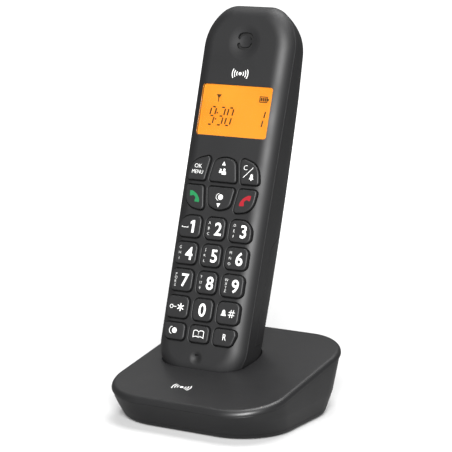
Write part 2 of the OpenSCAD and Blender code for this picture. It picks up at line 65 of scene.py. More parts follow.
# ---------------------------------------------------------------------------
# The setting: a plain pale floor, soft studio lamps and the camera. The floor
# glows a little more the further off it lies, so that it meets the pale
# surround without a line and still takes the object's soft shadow.
camera_azimuth, camera_elevation = radians(30.97), radians(10.63)
camera_place = Vector((421.9, -709.6, 236.9)) * MM

bpy.ops.object.camera_add(location=camera_place)
camera = bpy.context.object
camera.name = "view_camera"
look = Vector((
    -sin(camera_azimuth) * cos(camera_elevation),
    cos(camera_azimuth) * cos(camera_elevation),
    -sin(camera_elevation),
))
camera.rotation_euler = look.to_track_quat("-Z", "Y").to_euler()
camera.data.lens = 155.5
camera.data.shift_y = -0.0036
bpy.context.scene.camera = camera
bpy.context.scene.view_settings.view_transform = "Standard"


def new_material(name):
    """A material with its Principled shader, and functions that add and join its nodes."""
    material = bpy.data.materials.new(name)
    material.use_nodes = True
    nodes, links = material.node_tree.nodes, material.node_tree.links
    shader = nodes["Principled BSDF"]

    def add(kind, **inputs):
        node = nodes.new(kind)
        for key, value in inputs.items():
            put(node, key.replace("_", " "), value)
        return node

    def put(node, socket, value):
        if isinstance(value, bpy.types.NodeSocket):
            links.new(value, node.inputs[socket])
        else:
            node.inputs[socket].default_value = value

    return material, shader, add, put


floor_paint, shader, add, put = new_material("floor_paint")
place = add("ShaderNodeTexCoord")
mottle = add("ShaderNodeTexNoise", Vector=place.outputs["Object"], Scale=9.0, Detail=3.0)
tone = add("ShaderNodeMapRange", Value=mottle.outputs["Fac"], To_Min=0.58, To_Max=0.6)
seen_by = add("ShaderNodeLightPath")
bounce = add("ShaderNodeMapRange", Value=seen_by.outputs["Is Camera Ray"], To_Min=0.4)
paint = add("ShaderNodeMath")
paint.operation = "MULTIPLY"
put(paint, 0, tone.outputs["Result"])
put(paint, 1, bounce.outputs["Result"])
put(shader, "Base Color", paint.outputs["Value"])
put(shader, "Roughness", 0.8)
put(shader, "Emission Color", (1, 1, 1, 1))
far = add("ShaderNodeVectorMath")
far.operation = "LENGTH"
put(far, 0, place.outputs["Object"])
reach = add("ShaderNodeMapRange", Value=far.outputs["Value"], From_Min=0.12, From_Max=0.7, To_Min=0.03)
glow = add("ShaderNodeMath")
glow.operation = "MULTIPLY"
put(glow, 0, seen_by.outputs["Is Camera Ray"])
put(glow, 1, reach.outputs["Result"])
put(shader, "Emission Strength", glow.outputs["Value"])
bpy.ops.mesh.primitive_plane_add(size=8, location=(0, 0, cad_box[0].z))
floor = bpy.context.object
floor.name = "floor"
floor.data.materials.append(floor_paint)

surround = bpy.data.worlds.new("surround")
bpy.context.scene.world = surround
surround.use_nodes = True
sky = surround.node_tree
ray = sky.nodes.new("ShaderNodeLightPath")
seen = sky.nodes.new("ShaderNodeBackground")
seen.inputs["Color"].default_value = (1, 1, 1, 1)
seen.inputs["Strength"].default_value = 1.0
lit = sky.nodes["Background"]
lit.inputs["Color"].default_value = (1, 1, 1, 1)
lit.inputs["Strength"].default_value = 0.18
pick = sky.nodes.new("ShaderNodeMixShader")
sky.links.new(ray.outputs["Is Camera Ray"], pick.inputs["Fac"])
sky.links.new(lit.outputs["Background"], pick.inputs[1])
sky.links.new(seen.outputs["Background"], pick.inputs[2])
sky.links.new(pick.outputs["Shader"], sky.nodes["World Output"].inputs["Surface"])


def soft_lamp(name, azimuth, elevation, distance, size, power):
    """A square studio lamp that hangs round the object and points at its middle."""
    a, e = radians(azimuth), radians(elevation)
    target = Vector((0, 0, 0.08))
    away = Vector((sin(a) * cos(e), -cos(a) * cos(e), sin(e)))
    bpy.ops.object.light_add(type="AREA", location=target + away * distance)
    lamp = bpy.context.object
    lamp.name = name
    lamp.rotation_euler = (-away).to_track_quat("-Z", "Y").to_euler()
    lamp.data.size, lamp.data.energy = size, power


soft_lamp("lamp_front", azimuth=30, elevation=24, distance=1.25, size=0.5, power=35)
soft_lamp("lamp_top", azimuth=165, elevation=76, distance=1.1, size=0.8, power=15)
soft_lamp("lamp_back", azimuth=-128, elevation=36, distance=1.3, size=0.6, power=0.6)

# ---------------------------------------------------------------------------
# The handset's form: two satin black shells that meet at a groove round the
# sides. The front is flat with softly rolled edges, the back is bowed.
phone_len, phone_t = 166.0, 26.0
ridge_m, groove_w, side_lean = 5.0, 1.2, 0.3
edge_roll, back_roll, roll_start = 7.4, 6.5, 12.5
bow_r, bow_z = 1100.0, 50.0
crown_back_r, crown_back_m, crown_ease = 15.0, 5.5, 0.1
crown_neck_m, crown_taper = 20.4, 0.1265
foot_roll, foot_back_m = 6.0, 20.0
shell_wall = 1.8
face_corners = [
    (21.6, 0, 15), (22.88, 156.1, 21.4), (12.8, 166, 11.8),
    (-12.8, 166, 11.8), (-22.88, 156.1, 21.4), (-21.6, 0, 15),
]
lift_axis = next(j for j in frame["joints"] if j["name"] == "handset_lift")["axis"]
lean = atan2(lift_axis[1], lift_axis[2])
window_low, window_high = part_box("display_window")
window_z, window_mid_m = 118.2, 0.6
turn = Matrix.Rotation(-lean, 4, "X")
seat = (window_low + window_high) / 2 - turn @ (Vector((0, window_mid_m, window_z)) * MM)
# Pieces are drawn in millimetres, upright, and then put in their place.
HANDSET = Matrix.Translation(seat) @ turn @ Matrix.Scale(MM, 4)


def rounded(corners, grow=0.0, steps=6, runs=None):
    """Outline of a polygon with a radius at each corner, grown outwards. Runs add points to its sides."""
    arcs = []
    for i, (x, z, r) in enumerate(corners):
        before, here, after = (Vector(corners[(i + k) % len(corners)][:2]) for k in (-1, 0, 1))
        go_in, go_out = (here - before).normalized(), (after - here).normalized()
        n_in, n_out = Vector((go_in.y, -go_in.x)), Vector((go_out.y, -go_out.x))
        bend = go_in.angle(go_out)
        tip = here + grow * (n_in + n_out) / (1 + n_in.dot(n_out))
        centre = tip - (r + grow) * (tan(bend / 2) * go_in + n_in)
        first = atan2(n_in.y, n_in.x)
        arcs.append([
            centre + (r + grow) * Vector((cos(first + bend * k / steps), sin(first + bend * k / steps)))
            for k in range(steps + 1)
        ])
    points = []
    for i, arc in enumerate(arcs):
        points += arc
        extra = runs[i] if runs else 0
        ahead = arcs[(i + 1) % len(arcs)][0]
        points += [arc[-1].lerp(ahead, (k + 1) / (extra + 1)) for k in range(extra)]
    return points


def flat_plate(name, places):
    """A flat face whose corners lie at the given places."""
    bpy.ops.object.select_all(action="DESELECT")
    bpy.ops.mesh.primitive_circle_add(vertices=len(places), fill_type="NGON")
    plate = bpy.context.object
    plate.name = plate.data.name = name
    for corner, at in zip(plate.data.vertices, places):
        corner.co = at
    return plate


def loft(name, rings, zip_end=False):
    """A solid drawn out of its first ring, ring by ring. Zipped, its last ring closes on a line."""
    solid = flat_plate(name, rings[0])
    number = solid.data.attributes.new("number", "INT", "POINT")
    for i in range(len(rings[0])):
        number.data[i].value = i
    bpy.ops.object.mode_set(mode="EDIT")
    bpy.ops.mesh.select_all(action="SELECT")
    for ring in rings[1:]:
        bpy.ops.mesh.extrude_region_move()
        bm = bmesh.from_edit_mesh(solid.data)
        layer = bm.verts.layers.int["number"]
        for v in bm.verts:
            if v.select:
                v.co = ring[v[layer]]
        bmesh.update_edit_mesh(solid.data)
    if zip_end:
        bpy.ops.mesh.delete(type="ONLY_FACE")
        bpy.ops.mesh.select_all(action="SELECT")
        bpy.ops.mesh.remove_doubles(threshold=0.002)
    bpy.ops.mesh.select_all(action="SELECT")
    bpy.ops.mesh.normals_make_consistent(inside=False)
    bpy.ops.object.mode_set(mode="OBJECT")
    solid.data.attributes.remove(solid.data.attributes["number"])
    return solid


def back_depth(z):
    """Depth of the handset's bowed back, and of the start of its roll, at a height."""
    bow = (z - bow_z) ** 2 / (2 * bow_r)
    deep, roll = phone_t - bow, roll_start - bow
    crown_z = phone_len - crown_back_r
    if z > crown_z:
        part = sqrt(max(0.0, 1 - ((z - crown_z) / crown_back_r) ** 2))
        roll_there = roll_start - (crown_z - bow_z) ** 2 / (2 * bow_r)
        deep, roll = (crown_back_r - crown_ease) * part, (roll_there - crown_back_m) * part
        return crown_back_m + deep, crown_back_m + roll
    deep = min(deep, crown_neck_m + (crown_z - z) * crown_taper)
    if z < foot_roll:
        deep = min(deep, foot_back_m + sqrt(max(0.0, foot_roll ** 2 - (foot_roll - z) ** 2)))
    return deep, roll


def face_ring(inset, depth):
    """The handset's outline, drawn in by an inset, at one depth behind its front."""
    line = rounded(face_corners, -inset, 10, (36, 0, 4, 0, 36, 6))
    return [(p.x, depth(p.y) if callable(depth) else depth, p.y) for p in line]


def front_rings(grow, steps=11):
    """Rings from the flat face over its rolled edge to the ridge, with a flat border first."""
    last, border = acos(1 - ridge_m / edge_roll), 0.3
    rings = [face_ring(edge_roll * sin(last) + border - grow, -grow)]
    for i in range(steps + 1):
        t = last * i / steps
        rings.append(face_ring(
            edge_roll * (sin(last) - sin(t)) - grow,
            -grow + (ridge_m + grow) * (1 - cos(t)) / (1 - cos(last)),
        ))
    return rings


def back_rings(grow, steps=10):
    """Rings from the groove over the side wall and its roll, then along the bowed back to a line."""
    side_m = ridge_m + groove_w
    rings = [
        face_ring(side_lean * part - grow, lambda z, p=part: side_m + (back_depth(z)[1] - side_m) * p)
        for part in (0.0, 0.5, 1.0)
    ]
    for i in range(1, steps + 1):
        t = pi / 2 * i / steps
        rings.append(face_ring(
            side_lean + back_roll * (1 - cos(t)) - grow,
            lambda z, t=t: back_depth(z)[1] + (back_depth(z)[0] + grow - back_depth(z)[1]) * sin(t),
        ))
    line_low, line_high = 24.0, 142.0
    last = rings[-1]
    for part in (0.3, 0.65, 1.0):
        ring = []
        for x, m, z in last:
            to_z = min(max(z, line_low), line_high)
            at_z = z + (to_z - z) * part
            ring.append((x * (1 - part), back_depth(at_z)[0] + grow, at_z))
        rings.append(ring)
    return rings


def whole_form(name, grow):
    return loft(name, front_rings(grow) + back_rings(grow), zip_end=True)


def block(name, low, high):
    """A plain block between two corners, used as a cutter or joined to a shell."""
    bpy.ops.object.select_all(action="DESELECT")
    low, high = Vector(low), Vector(high)
    bpy.ops.mesh.primitive_cube_add(size=1, location=(low + high) / 2, scale=high - low)
    cube = bpy.context.object
    cube.name = cube.data.name = name
    bpy.ops.object.transform_apply(location=True, rotation=True, scale=True)
    return cube


def pick_only(*pieces):
    bpy.ops.object.select_all(action="DESELECT")
    for piece in pieces:
        piece.select_set(True)
    bpy.context.view_layer.objects.active = pieces[0]


def join(*pieces):
    pick_only(*pieces)
    bpy.ops.object.join()
    return pieces[0]


def combine(piece, tool, how="DIFFERENCE", keep=False):
    """Cuts a tool out of a piece, adds it, or keeps what they share."""
    change = piece.modifiers.new("change", "BOOLEAN")
    change.operation, change.object, change.solver = how, tool, "MANIFOLD"
    pick_only(piece)
    bpy.ops.object.modifier_apply(modifier="change")
    if not keep:
        bpy.data.objects.remove(tool)


def finish_piece(piece, body, nodes, material, place):
    """Smooths a piece, puts it in its place and gives it its material, body and replaced nodes."""
    pick_only(piece)
    bpy.ops.object.mode_set(mode="EDIT")
    bpy.ops.mesh.select_all(action="SELECT")
    bpy.ops.mesh.remove_doubles(threshold=0.001)
    bpy.ops.object.mode_set(mode="OBJECT")
    piece.matrix_world = place
    bpy.ops.object.transform_apply(location=True, rotation=True, scale=True)
    bpy.ops.object.shade_smooth_by_angle(angle=radians(32))
    piece.modifiers.new("even", "WEIGHTED_NORMAL").keep_sharp = True
    bpy.ops.object.modifier_apply(modifier="even")
    piece.data.materials.clear()
    piece.data.materials.append(material)
    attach(piece, body)
    if nodes:
        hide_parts(*nodes)


# Moulded black plastic: spark-eroded grain, with cloudy differences in gloss
# and tone.
grain = bpy.data.node_groups.new("moulded_grain", "ShaderNodeTree")
for socket, kind, value in (
    ("Grain Scale", "NodeSocketFloat", 2600.0), ("Cloud Scale", "NodeSocketFloat", 45.0),
    ("Low Gloss", "NodeSocketFloat", 0.5), ("High Gloss", "NodeSocketFloat", 0.4),
):
    grain.interface.new_socket(socket, in_out="INPUT", socket_type=kind).default_value = value
for socket in ("Height", "Roughness", "Tone"):
    grain.interface.new_socket(socket, in_out="OUTPUT", socket_type="NodeSocketFloat")
inside, outside = grain.nodes.new("NodeGroupInput"), grain.nodes.new("NodeGroupOutput")
where = grain.nodes.new("ShaderNodeTexCoord")
fine, cloud = grain.nodes.new("ShaderNodeTexNoise"), grain.nodes.new("ShaderNodeTexNoise")
fine.inputs["Detail"].default_value, cloud.inputs["Detail"].default_value = 2.5, 4.0
for texture, scale in ((fine, "Grain Scale"), (cloud, "Cloud Scale")):
    grain.links.new(where.outputs["Object"], texture.inputs["Vector"])
    grain.links.new(inside.outputs[scale], texture.inputs["Scale"])
gloss = grain.nodes.new("ShaderNodeMapRange")
gloss.inputs["From Min"].default_value, gloss.inputs["From Max"].default_value = 0.3, 0.7
grain.links.new(cloud.outputs["Fac"], gloss.inputs["Value"])
grain.links.new(inside.outputs["Low Gloss"], gloss.inputs["To Min"])
grain.links.new(inside.outputs["High Gloss"], gloss.inputs["To Max"])
speck = grain.nodes.new("ShaderNodeMath")
speck.operation = "MULTIPLY"
grain.links.new(fine.outputs["Fac"], speck.inputs[0])
grain.links.new(cloud.outputs["Fac"], speck.inputs[1])
grain.links.new(fine.outputs["Fac"], outside.inputs["Height"])
grain.links.new(gloss.outputs["Result"], outside.inputs["Roughness"])
grain.links.new(speck.outputs["Value"], outside.inputs["Tone"])


def moulded_plastic(name, dark, light, gloss=(0.5, 0.4), grain_scale=2600.0, depth=0.12, cloud=45.0):
    """A moulded plastic with its own two tones, gloss and grain."""
    material, shader, add, put = new_material(name)
    texture = add("ShaderNodeGroup")
    texture.node_tree = grain
    sockets = ("Grain Scale", "Cloud Scale", "Low Gloss", "High Gloss")
    for socket, value in zip(sockets, (grain_scale, cloud, *gloss)):
        texture.inputs[socket].default_value = value
    tones = add("ShaderNodeMix", Factor=texture.outputs["Tone"])
    tones.data_type = "RGBA"
    dark_in, light_in = (socket for socket in tones.inputs if socket.type == "RGBA")
    dark_in.default_value, light_in.default_value = (*dark, 1), (*light, 1)
    put(shader, "Base Color", next(socket for socket in tones.outputs if socket.type == "RGBA"))
    put(shader, "Roughness", texture.outputs["Roughness"])
    relief = add("ShaderNodeBump", Height=texture.outputs["Height"], Strength=depth, Distance=0.02 * MM)
    put(shader, "Normal", relief.outputs["Normal"])
    return material


shell_plastic = moulded_plastic(
    "handset_plastic", (0.005, 0.005, 0.0055), (0.015, 0.015, 0.0155), (0.6, 0.5))

# ---------------------------------------------------------------------------
# Front shell: the flat face with the openings for the display and the keys,
# the shallow ear rest with its two curved slots, and the microphone's dimple.
key_gap, key_lip = 0.5, 0.35
key_proud, key_round, flange_top, flange_t, flange_rim = 0.8, 0.55, 1.9, 0.7, 0.5
window_w, window_h = 35.3, 22.7
nav_z, first_row_z, row_pitch, last_row_z = 85.35, 65.9, 11.9, 19.6
key_w, key_h, last_row_h = 9.8, 9.5, 7.2
side_key_in, side_key_out = 7.3, 18.2


def to_left(corners):
    return [(-x, z, r) for x, z, r in reversed(corners)]


def box_corners(x0, x1, z0, z1, r):
    return [(x0, z0, r), (x1, z0, r), (x1, z1, r), (x0, z1, r)]


def nav_key(*corners):
    return [(x, nav_z + z, r) for x, z, r in corners]


def digit_key(side, row):
    z, h, half = first_row_z - row * row_pitch, key_h / 2, key_w / 2
    if side == 0:
        return box_corners(-half, half, z - h, z + h, 2.3)
    right = [
        (side_key_in, z - h, 2.3), (side_key_out, z - h, 2.3),
        (side_key_out, z + h, 5.2 if row == 0 else 2.3), (side_key_in, z + h, 2.3),
    ]
    return right if side > 0 else to_left(right)


def foot_key(side):
    z, h, half = last_row_z, last_row_h / 2, key_w / 2
    if side == 0:
        return box_corners(-half, half, z - h, z + h, 1.8)
    right = [
        (side_key_in, z - h, 1.8), (side_key_out - 1.6, z - h, 2.6), (side_key_out, z + h * 0.4, 1.6),
        (side_key_out - 0.4, z + h, 1.4), (side_key_in, z + h, 1.8),
    ]
    return right if side > 0 else to_left(right)


clear_key = nav_key((9.2, 1.2, 1.2), (18.2, 1.2, 1.2), (16.9, 9.7, 6.8), (7.3, 12.7, 1.5))
end_key = nav_key((7.4, -11.9, 1.5), (16.9, -10.7, 6.3), (18, -1.15, 1.2), (9, -1.15, 1.2))
KEYS = {
    "menu": to_left(clear_key),
    "up": nav_key((-7, 1.25, 1.2), (7, 1.25, 1.2), (5.3, 10.6, 3.3), (0, 12.35, 8.5), (-5.3, 10.6, 3.3)),
    "clear": clear_key,
    "talk": to_left(end_key),
    "down": nav_key(
        (-5.5, -9.5, 3.4), (0, -11.5, 7.5), (5.5, -9.5, 3.4), (6.9, -1.15, 1.2), (-6.9, -1.15, 1.2)),
    "end": end_key,
    **{name: digit_key(i % 3 - 1, i // 3) for i, name in enumerate("1 2 3 4 5 6 7 8 9 star 0 hash".split())},
    **{name: foot_key(side) for side, name in zip((-1, 0, 1), ("intercom", "book", "recall"))},
}


def prism(name, corners, steps, radius_steps=6):
    """A solid drawn straight back from an outline. Steps give (growth, depth) of each ring."""
    return loft(name, [
        [(p.x, m, p.y) for p in rounded(corners, grow, radius_steps)] for grow, m in steps
    ])


def lipped_cutter(name, corners, gap, lip, back, radius_steps=6):
    """A cutter for an opening whose front edge is rounded off by a small lip."""
    steps = [(gap + lip, -1.0), (gap + lip, 0.0)]
    steps += [(gap + lip * (1 - sin(pi / 6 * k)), lip * (1 - cos(pi / 6 * k))) for k in (1, 2, 3)]
    return prism(name, corners, steps + [(gap, back)], radius_steps)


ridge_under = [face_ring(0.1, 5.15), face_ring(0.3, 5.3), face_ring(0.45, 5.36)]
front_shell = loft("front_shell_shape", front_rings(0) + ridge_under)
hollow = front_rings(-shell_wall)
combine(front_shell, loft("hollow", hollow[:-1] + [face_ring(shell_wall, 4.9), face_ring(shell_wall, 6.5)]))
through_m, pocket_back, pocket_rim = 3.2, 3.4, flange_rim + 0.2
openings = [lipped_cutter("opening", corners, key_gap, key_lip, through_m) for corners in KEYS.values()]
combine(front_shell, join(*openings))
pockets = [
    prism("flange_pocket", corners, [(pocket_rim, shell_wall - 0.05), (pocket_rim, pocket_back)])
    for corners in KEYS.values()
]
combine(front_shell, join(*pockets))
half_w, half_h = window_w / 2, window_h / 2
window_corners = box_corners(-half_w, half_w, window_z - half_h, window_z + half_h, 1.2)
window_gap, window_lip = 0.08, 0.15
combine(front_shell, lipped_cutter("window_opening", window_corners, window_gap, window_lip, through_m, 8))


def circle(r=1.0, sides=28):
    """Points round a circle, used for every round outline."""
    return [(r * cos(2 * pi * k / sides), r * sin(2 * pi * k / sides)) for k in range(sides)]


def oval(centre_z, wide, tall, m):
    return [(wide * x, m, centre_z + tall * z) for x, z in circle(1.0, 48)]


def dish_cutter(name, centre_z, wide, tall, sink):
    """A cutter for a shallow hollow whose rim runs out softly into the face."""
    parts = [k / 14 for k in range(14, 0, -1)]
    rings = [oval(centre_z, wide, tall, -1.0)]
    rings += [oval(centre_z, wide * q, tall * q, sink * (1 + cos(pi * q)) / 2 - 0.008) for q in parts]
    return loft(name, rings)


def arc_slot(centre_z, r_in, r_out, first, last, depth):
    """A cutter for one sound slot with rounded ends that bends round a square with soft corners."""
    steps = 14
    angles = [radians(first + (last - first) * k / steps) for k in range(steps + 1)]
    middle, half = (r_in + r_out) / 2, (r_out - r_in) / 2

    def end_cap(a, turns):
        return [(middle * cos(a) + half * cos(a + t), middle * sin(a) + half * sin(a + t)) for t in turns]

    line = [(r_out * cos(a), r_out * sin(a)) for a in angles]
    line += end_cap(angles[-1], (pi / 4, pi / 2, 3 * pi / 4))
    line += [(r_in * cos(a), r_in * sin(a)) for a in reversed(angles)]
    line += end_cap(angles[0], (-3 * pi / 4, -pi / 2, -pi / 4))
    square = []
    for x, z in line:
        spread = (abs(cos(atan2(z, x))) ** 3 + abs(sin(atan2(z, x))) ** 3) ** (-1 / 3)
        square.append((x * spread, z * spread))
    return loft("ear_slot", [[(x, m, centre_z + z) for x, z in square] for m in (-1.0, depth)])


ear_z, mic_z = 149.4, 9.3
slot_in, slot_out, slot_reach = 2.6, 3.95, 66
combine(front_shell, dish_cutter("ear_hollow", ear_z - 0.5, 8.5, 8.6, 1.15))
for middle in (90, 270):
    combine(front_shell, arc_slot(ear_z, slot_in, slot_out, middle - slot_reach, middle + slot_reach, 3.4))
combine(front_shell, dish_cutter("mic_hollow", mic_z, 3.4, 3.4, 0.8))
combine(front_shell, block("mic_hole", (-0.9, -1, mic_z + 0.9), (0.9, through_m, mic_z + 1.6)))
finish_piece(front_shell, "handset", ["front_shell"], shell_plastic, HANDSET)

# ---------------------------------------------------------------------------
# Rear shell: the tub behind the parting groove, with the deck and the tray for
# the cells, charging-pad seats in its foot, screw wells and the ringer's slots.
cover_side, cover_shoulder_z, cover_rise, cover_gap, cover_wall = 12.5, 58.8, 11.2, 0.2, 1.5
cell_d, cell_len, cell_low = 10.5, 44.5, 22.2
tray_u, tray_floor, tray_low, tray_high, tray_back = 11.5, 12.5, 21.4, 70.5, 22.8
tray_wall, tray_front = 0.9, 11.55
deck_low, deck_high, deck_half, deck_t = 12.0, 74.0, 25.0, 1.0
screw_u, screw_z, screw_well_r, screw_head_m = 12.0, 11.0, 2.5, 15.0
cover_low_z, fit_wall = 22.0, 0.9


def cover_cutter(name, gap):
    """The space behind the side seam that the battery cover fills, made smaller by a gap."""
    low, rise, sweep = cover_low_z + gap, 0.3, pi / 6
    long_r, high_r = (phone_t - cover_side) / (1 - cos(sweep)), cover_rise / sin(sweep)
    side = [(cover_side + gap, low - rise * (phone_t - cover_side)), (phone_t + 2, low + rise * 2)]
    for k in range(13):
        a = pi - (sweep + 0.05) * (1 - k / 12)
        side.append((
            cover_side + long_r + (long_r - gap) * cos(a), cover_shoulder_z - gap + high_r * sin(a),
        ))
    return loft(name, [[(x, m, z) for m, z in side] for x in (-30.0, 30.0)])


def rear_form(name, grow, lead):
    """The form behind the parting line, with lead-in rings given as (inset, depth)."""
    return loft(name, [face_ring(i, m) for i, m in lead] + back_rings(grow), zip_end=True)


rear_lead = [(0.95, 5.4), (0.95, 5.66), (0.4, 5.66), (0.2, 5.72), (0.06, 5.88)]
rear_shell = rear_form("rear_shell_shape", 0, rear_lead)
inner = rear_form("inner", -shell_wall, [(shell_wall, 4.0), (shell_wall, 5.0)])
combine(rear_shell, inner, keep=True)
combine(rear_shell, cover_cutter("cover_space", 0))
deck_m = cover_side - cover_gap
deck = block("deck", (-deck_half, deck_m - deck_t, deck_low), (deck_half, deck_m, deck_high))
slim = rear_form("slim", -fit_wall, [(fit_wall, 4.0), (fit_wall, 5.0)])
combine(deck, slim, "INTERSECT", keep=True)
combine(rear_shell, deck, "UNION")
tray = block("tray", (-tray_u - tray_wall, tray_front, tray_low - tray_wall),
             (tray_u + tray_wall, tray_back, tray_high + tray_wall))
combine(tray, slim, "INTERSECT")
combine(rear_shell, tray, "UNION")
combine(rear_shell, block("tray_pocket", (-tray_u, tray_floor, tray_low), (tray_u, 40, tray_high)))
bpy.data.objects.remove(inner)


def rod(name, u, z, r, a, b):
    """A round bar that runs into the handset from depth a to depth b."""
    return loft(name, [[(u + x, m, z + y) for x, y in circle(r, 32)] for m in (a, b)])


for side in (-1, 1):
    combine(rear_shell, rod("screw_well", side * screw_u, screw_z, screw_well_r, screw_head_m, phone_t + 4))
slot_half, slot_rise, slot_pitch = 6.0, 0.6, 3.0
slots = []
for z in (window_z - slot_pitch, window_z, window_z + slot_pitch):
    corners = box_corners(-slot_half, slot_half, z - slot_rise, z + slot_rise, 0.59)
    slots.append(prism("ringer_slot", corners, [(0, 19.0), (0, 30.0)], 5))
combine(rear_shell, join(*slots))
pad_m, pad_len, pad_u, pad_w, pad_gap = 11.5, 4.6, 8.0, 4.0, 0.05
seat_u, seat_m = pad_w / 2 + pad_gap, pad_len / 2 + pad_gap
seats = [
    block("pad_seat", (u - seat_u, pad_m - seat_m, -1), (u + seat_u, pad_m + seat_m, 0.75))
    for u in (-pad_u, pad_u)
]
combine(rear_shell, join(*seats))
finish_piece(rear_shell, "handset", ["rear_shell"], shell_plastic, HANDSET)

# Battery cover: a thin bowed shell that lies flush in the back.
battery_cover = rear_form("battery_cover_shape", 0, rear_lead)
combine(battery_cover, cover_cutter("cover_limit", cover_gap), "INTERSECT")
combine(battery_cover, rear_form("inner", -cover_wall, [(cover_wall, 4.0), (cover_wall, 5.0)]))
finish_piece(battery_cover, "cover", ["battery_cover"], shell_plastic, HANDSET)

# ---------------------------------------------------------------------------
# Keys: satin black rubber-like caps with rounded edges, standing a little out
# of the face, with white, green and red marks printed into their tops.
key_plastic = moulded_plastic(
    "key_plastic", (0.007, 0.007, 0.0075), (0.02, 0.02, 0.0205), (0.55, 0.46), 1900.0, 0.3, 120.0)
turns = [pi / 2 * k / 4 for k in range(5)]
cap_steps = [(-key_round - 0.6, -key_proud)]
cap_steps += [(-key_round * (1 - sin(t)), -key_proud + key_round * (1 - cos(t))) for t in turns]
cap_steps += [(0, flange_top), (flange_rim, flange_top + 0.02), (flange_rim, flange_top + flange_t)]
for key_name, corners in KEYS.items():
    node = f"key_{key_name}"
    cap = prism(f"{node}_cap", corners, cap_steps)
    finish_piece(cap, node, [node], key_plastic, HANDSET)


# Marks: thin printed shapes on the key tops, the face and the base.
def print_ink(name, dark, light):
    return moulded_plastic(name, dark, light, (0.5, 0.4), 4000.0, 0.03)


white_print = print_ink("white_print", (0.75, 0.75, 0.74), (0.95, 0.95, 0.93))
green_print = print_ink("green_print", (0.008, 0.14, 0.045), (0.02, 0.25, 0.085))
red_print = print_ink("red_print", (0.24, 0.005, 0.012), (0.4, 0.01, 0.022))
print_t = 0.04


def patch(points, at=(0, 0)):
    """A flat printed patch from its outline, drawn about a place on the face."""
    return loft("patch", [[(at[0] + x, m, at[1] + z) for x, z in points] for m in (-print_t, print_t)])


def disc(r, at=(0, 0)):
    return patch(circle(r), at)


def stroke(line, width, at=(0, 0)):
    """A printed line of an even width with round corners and ends."""
    line = [Vector(p) for p in line]
    left, right = [], []
    for i, p in enumerate(line):
        ways = []
        if i > 0:
            ways.append((p - line[i - 1]).normalized())
        if i < len(line) - 1:
            ways.append((line[i + 1] - p).normalized())
        way = sum(ways, Vector((0, 0))).normalized()
        side = Vector((-way.y, way.x)) * width / 2 / max(0.5, abs(way.dot(ways[0])))
        left.append(p + side)
        right.append(p - side)
    return patch([tuple(p) for p in right + left[::-1]], at)


def arc_line(r, first, last, count, centre=(0, 0)):
    """Points along an arc between two angles given in degrees."""
    turns = [radians(first + (last - first) * k / count) for k in range(count + 1)]
    return [(centre[0] + r * cos(t), centre[1] + r * sin(t)) for t in turns]


def lettering(words, size, at, bold=0.0, narrow=1.0):
    """Printed letters or figures, centred on a place."""
    bpy.ops.object.select_all(action="DESELECT")
    bpy.ops.object.text_add()
    text = bpy.context.object
    text.data.body, text.data.size = words, size
    text.data.align_x = text.data.align_y = "CENTER"
    text.data.extrude, text.data.offset = print_t, bold
    text.data.resolution_u = 5
    text.rotation_euler, text.scale = (pi / 2, 0, 0), (narrow, 1, 1)
    bpy.ops.object.convert(target="MESH")
    text = bpy.context.object
    bpy.ops.object.transform_apply(location=True, rotation=True, scale=True)
    low = [min(v.co[i] for v in text.data.vertices) for i in range(3)]
    high = [max(v.co[i] for v in text.data.vertices) for i in range(3)]
    text.location = (at[0] - (low[0] + high[0]) / 2, 0, at[1] - (low[2] + high[2]) / 2)
    bpy.ops.object.transform_apply(location=True, rotation=True, scale=True)
    return text


def stamp(name, marks, body, material, m, place=HANDSET):
    """Joins marks into one printed piece at a depth and puts it on its body."""
    mark = join(*marks)
    mark.name = mark.data.name = name
    mark.data.transform(Matrix.Translation((0, m, 0)))
    finish_piece(mark, body, [], material, place)


def key_mark(key, marks, ink=white_print):
    """Prints marks on the top of one key."""
    stamp(f"mark_{key}", marks, f"key_{key}", ink, -key_proud)


key_mid = {key: [sum(c[i] for c in corners) / len(corners) for i in (0, 1)] for key, corners in KEYS.items()}
letters = {"2": "ABC", "3": "DEF", "4": "GHI", "5": "JKL", "6": "MNO", "7": "PQRS", "8": "TUV", "9": "WXYZ"}
one = [(0.62, -2.75), (0.62, 2.75), (-0.2, 2.75), (-1.45, 1.95), (-1.45, 1.0), (-0.55, 1.4), (-0.55, -2.75)]
figure_size, figure_shift, letter_size, letter_shift, column_h = 7.9, 1.75, 1.7, 2.9, 4.8
for figure in "1234567890":
    x, z = key_mid[figure]
    at = (x if figure == "0" else x + figure_shift, z)
    marks = [patch(one, at) if figure == "1" else lettering(figure, figure_size, at, 0.13, 0.95)]
    column = letters.get(figure, "")
    for i, letter in enumerate(column):
        letter_z = z + column_h / 2 - column_h * i / (len(column) - 1)
        marks.append(lettering(letter, letter_size, (x - letter_shift, letter_z), -0.03))
    if figure == "1":
        marks.append(stroke([(-1.5, 0.5), (-1.5, 0), (1.5, 0), (1.5, 0.5)], 0.22, (x - 2.3, z - 0.6)))
    key_mark(figure, marks)


def phone_outline(slant, size, at):
    """The outline of a telephone handset, lying at a slant."""
    spine = [Vector(p) for p in arc_line(3.2, 215, 325, 12, (0, 2.4))]
    wide = [1.25, 1.35, 1.3, 1.05, 0.85, 0.8, 0.8, 0.8, 0.85, 1.05, 1.3, 1.35, 1.25]
    left, right = [], []
    for i, p in enumerate(spine):
        way = (spine[min(i + 1, 12)] - spine[max(i - 1, 0)]).normalized()
        side = Vector((-way.y, way.x)) * wide[i]
        left.append(p + side)
        right.append(p - side * 0.55)
    across, along = size * cos(slant), size * sin(slant)
    return patch([(p.x * across - p.y * along, p.x * along + p.y * across) for p in right + left[::-1]], at)


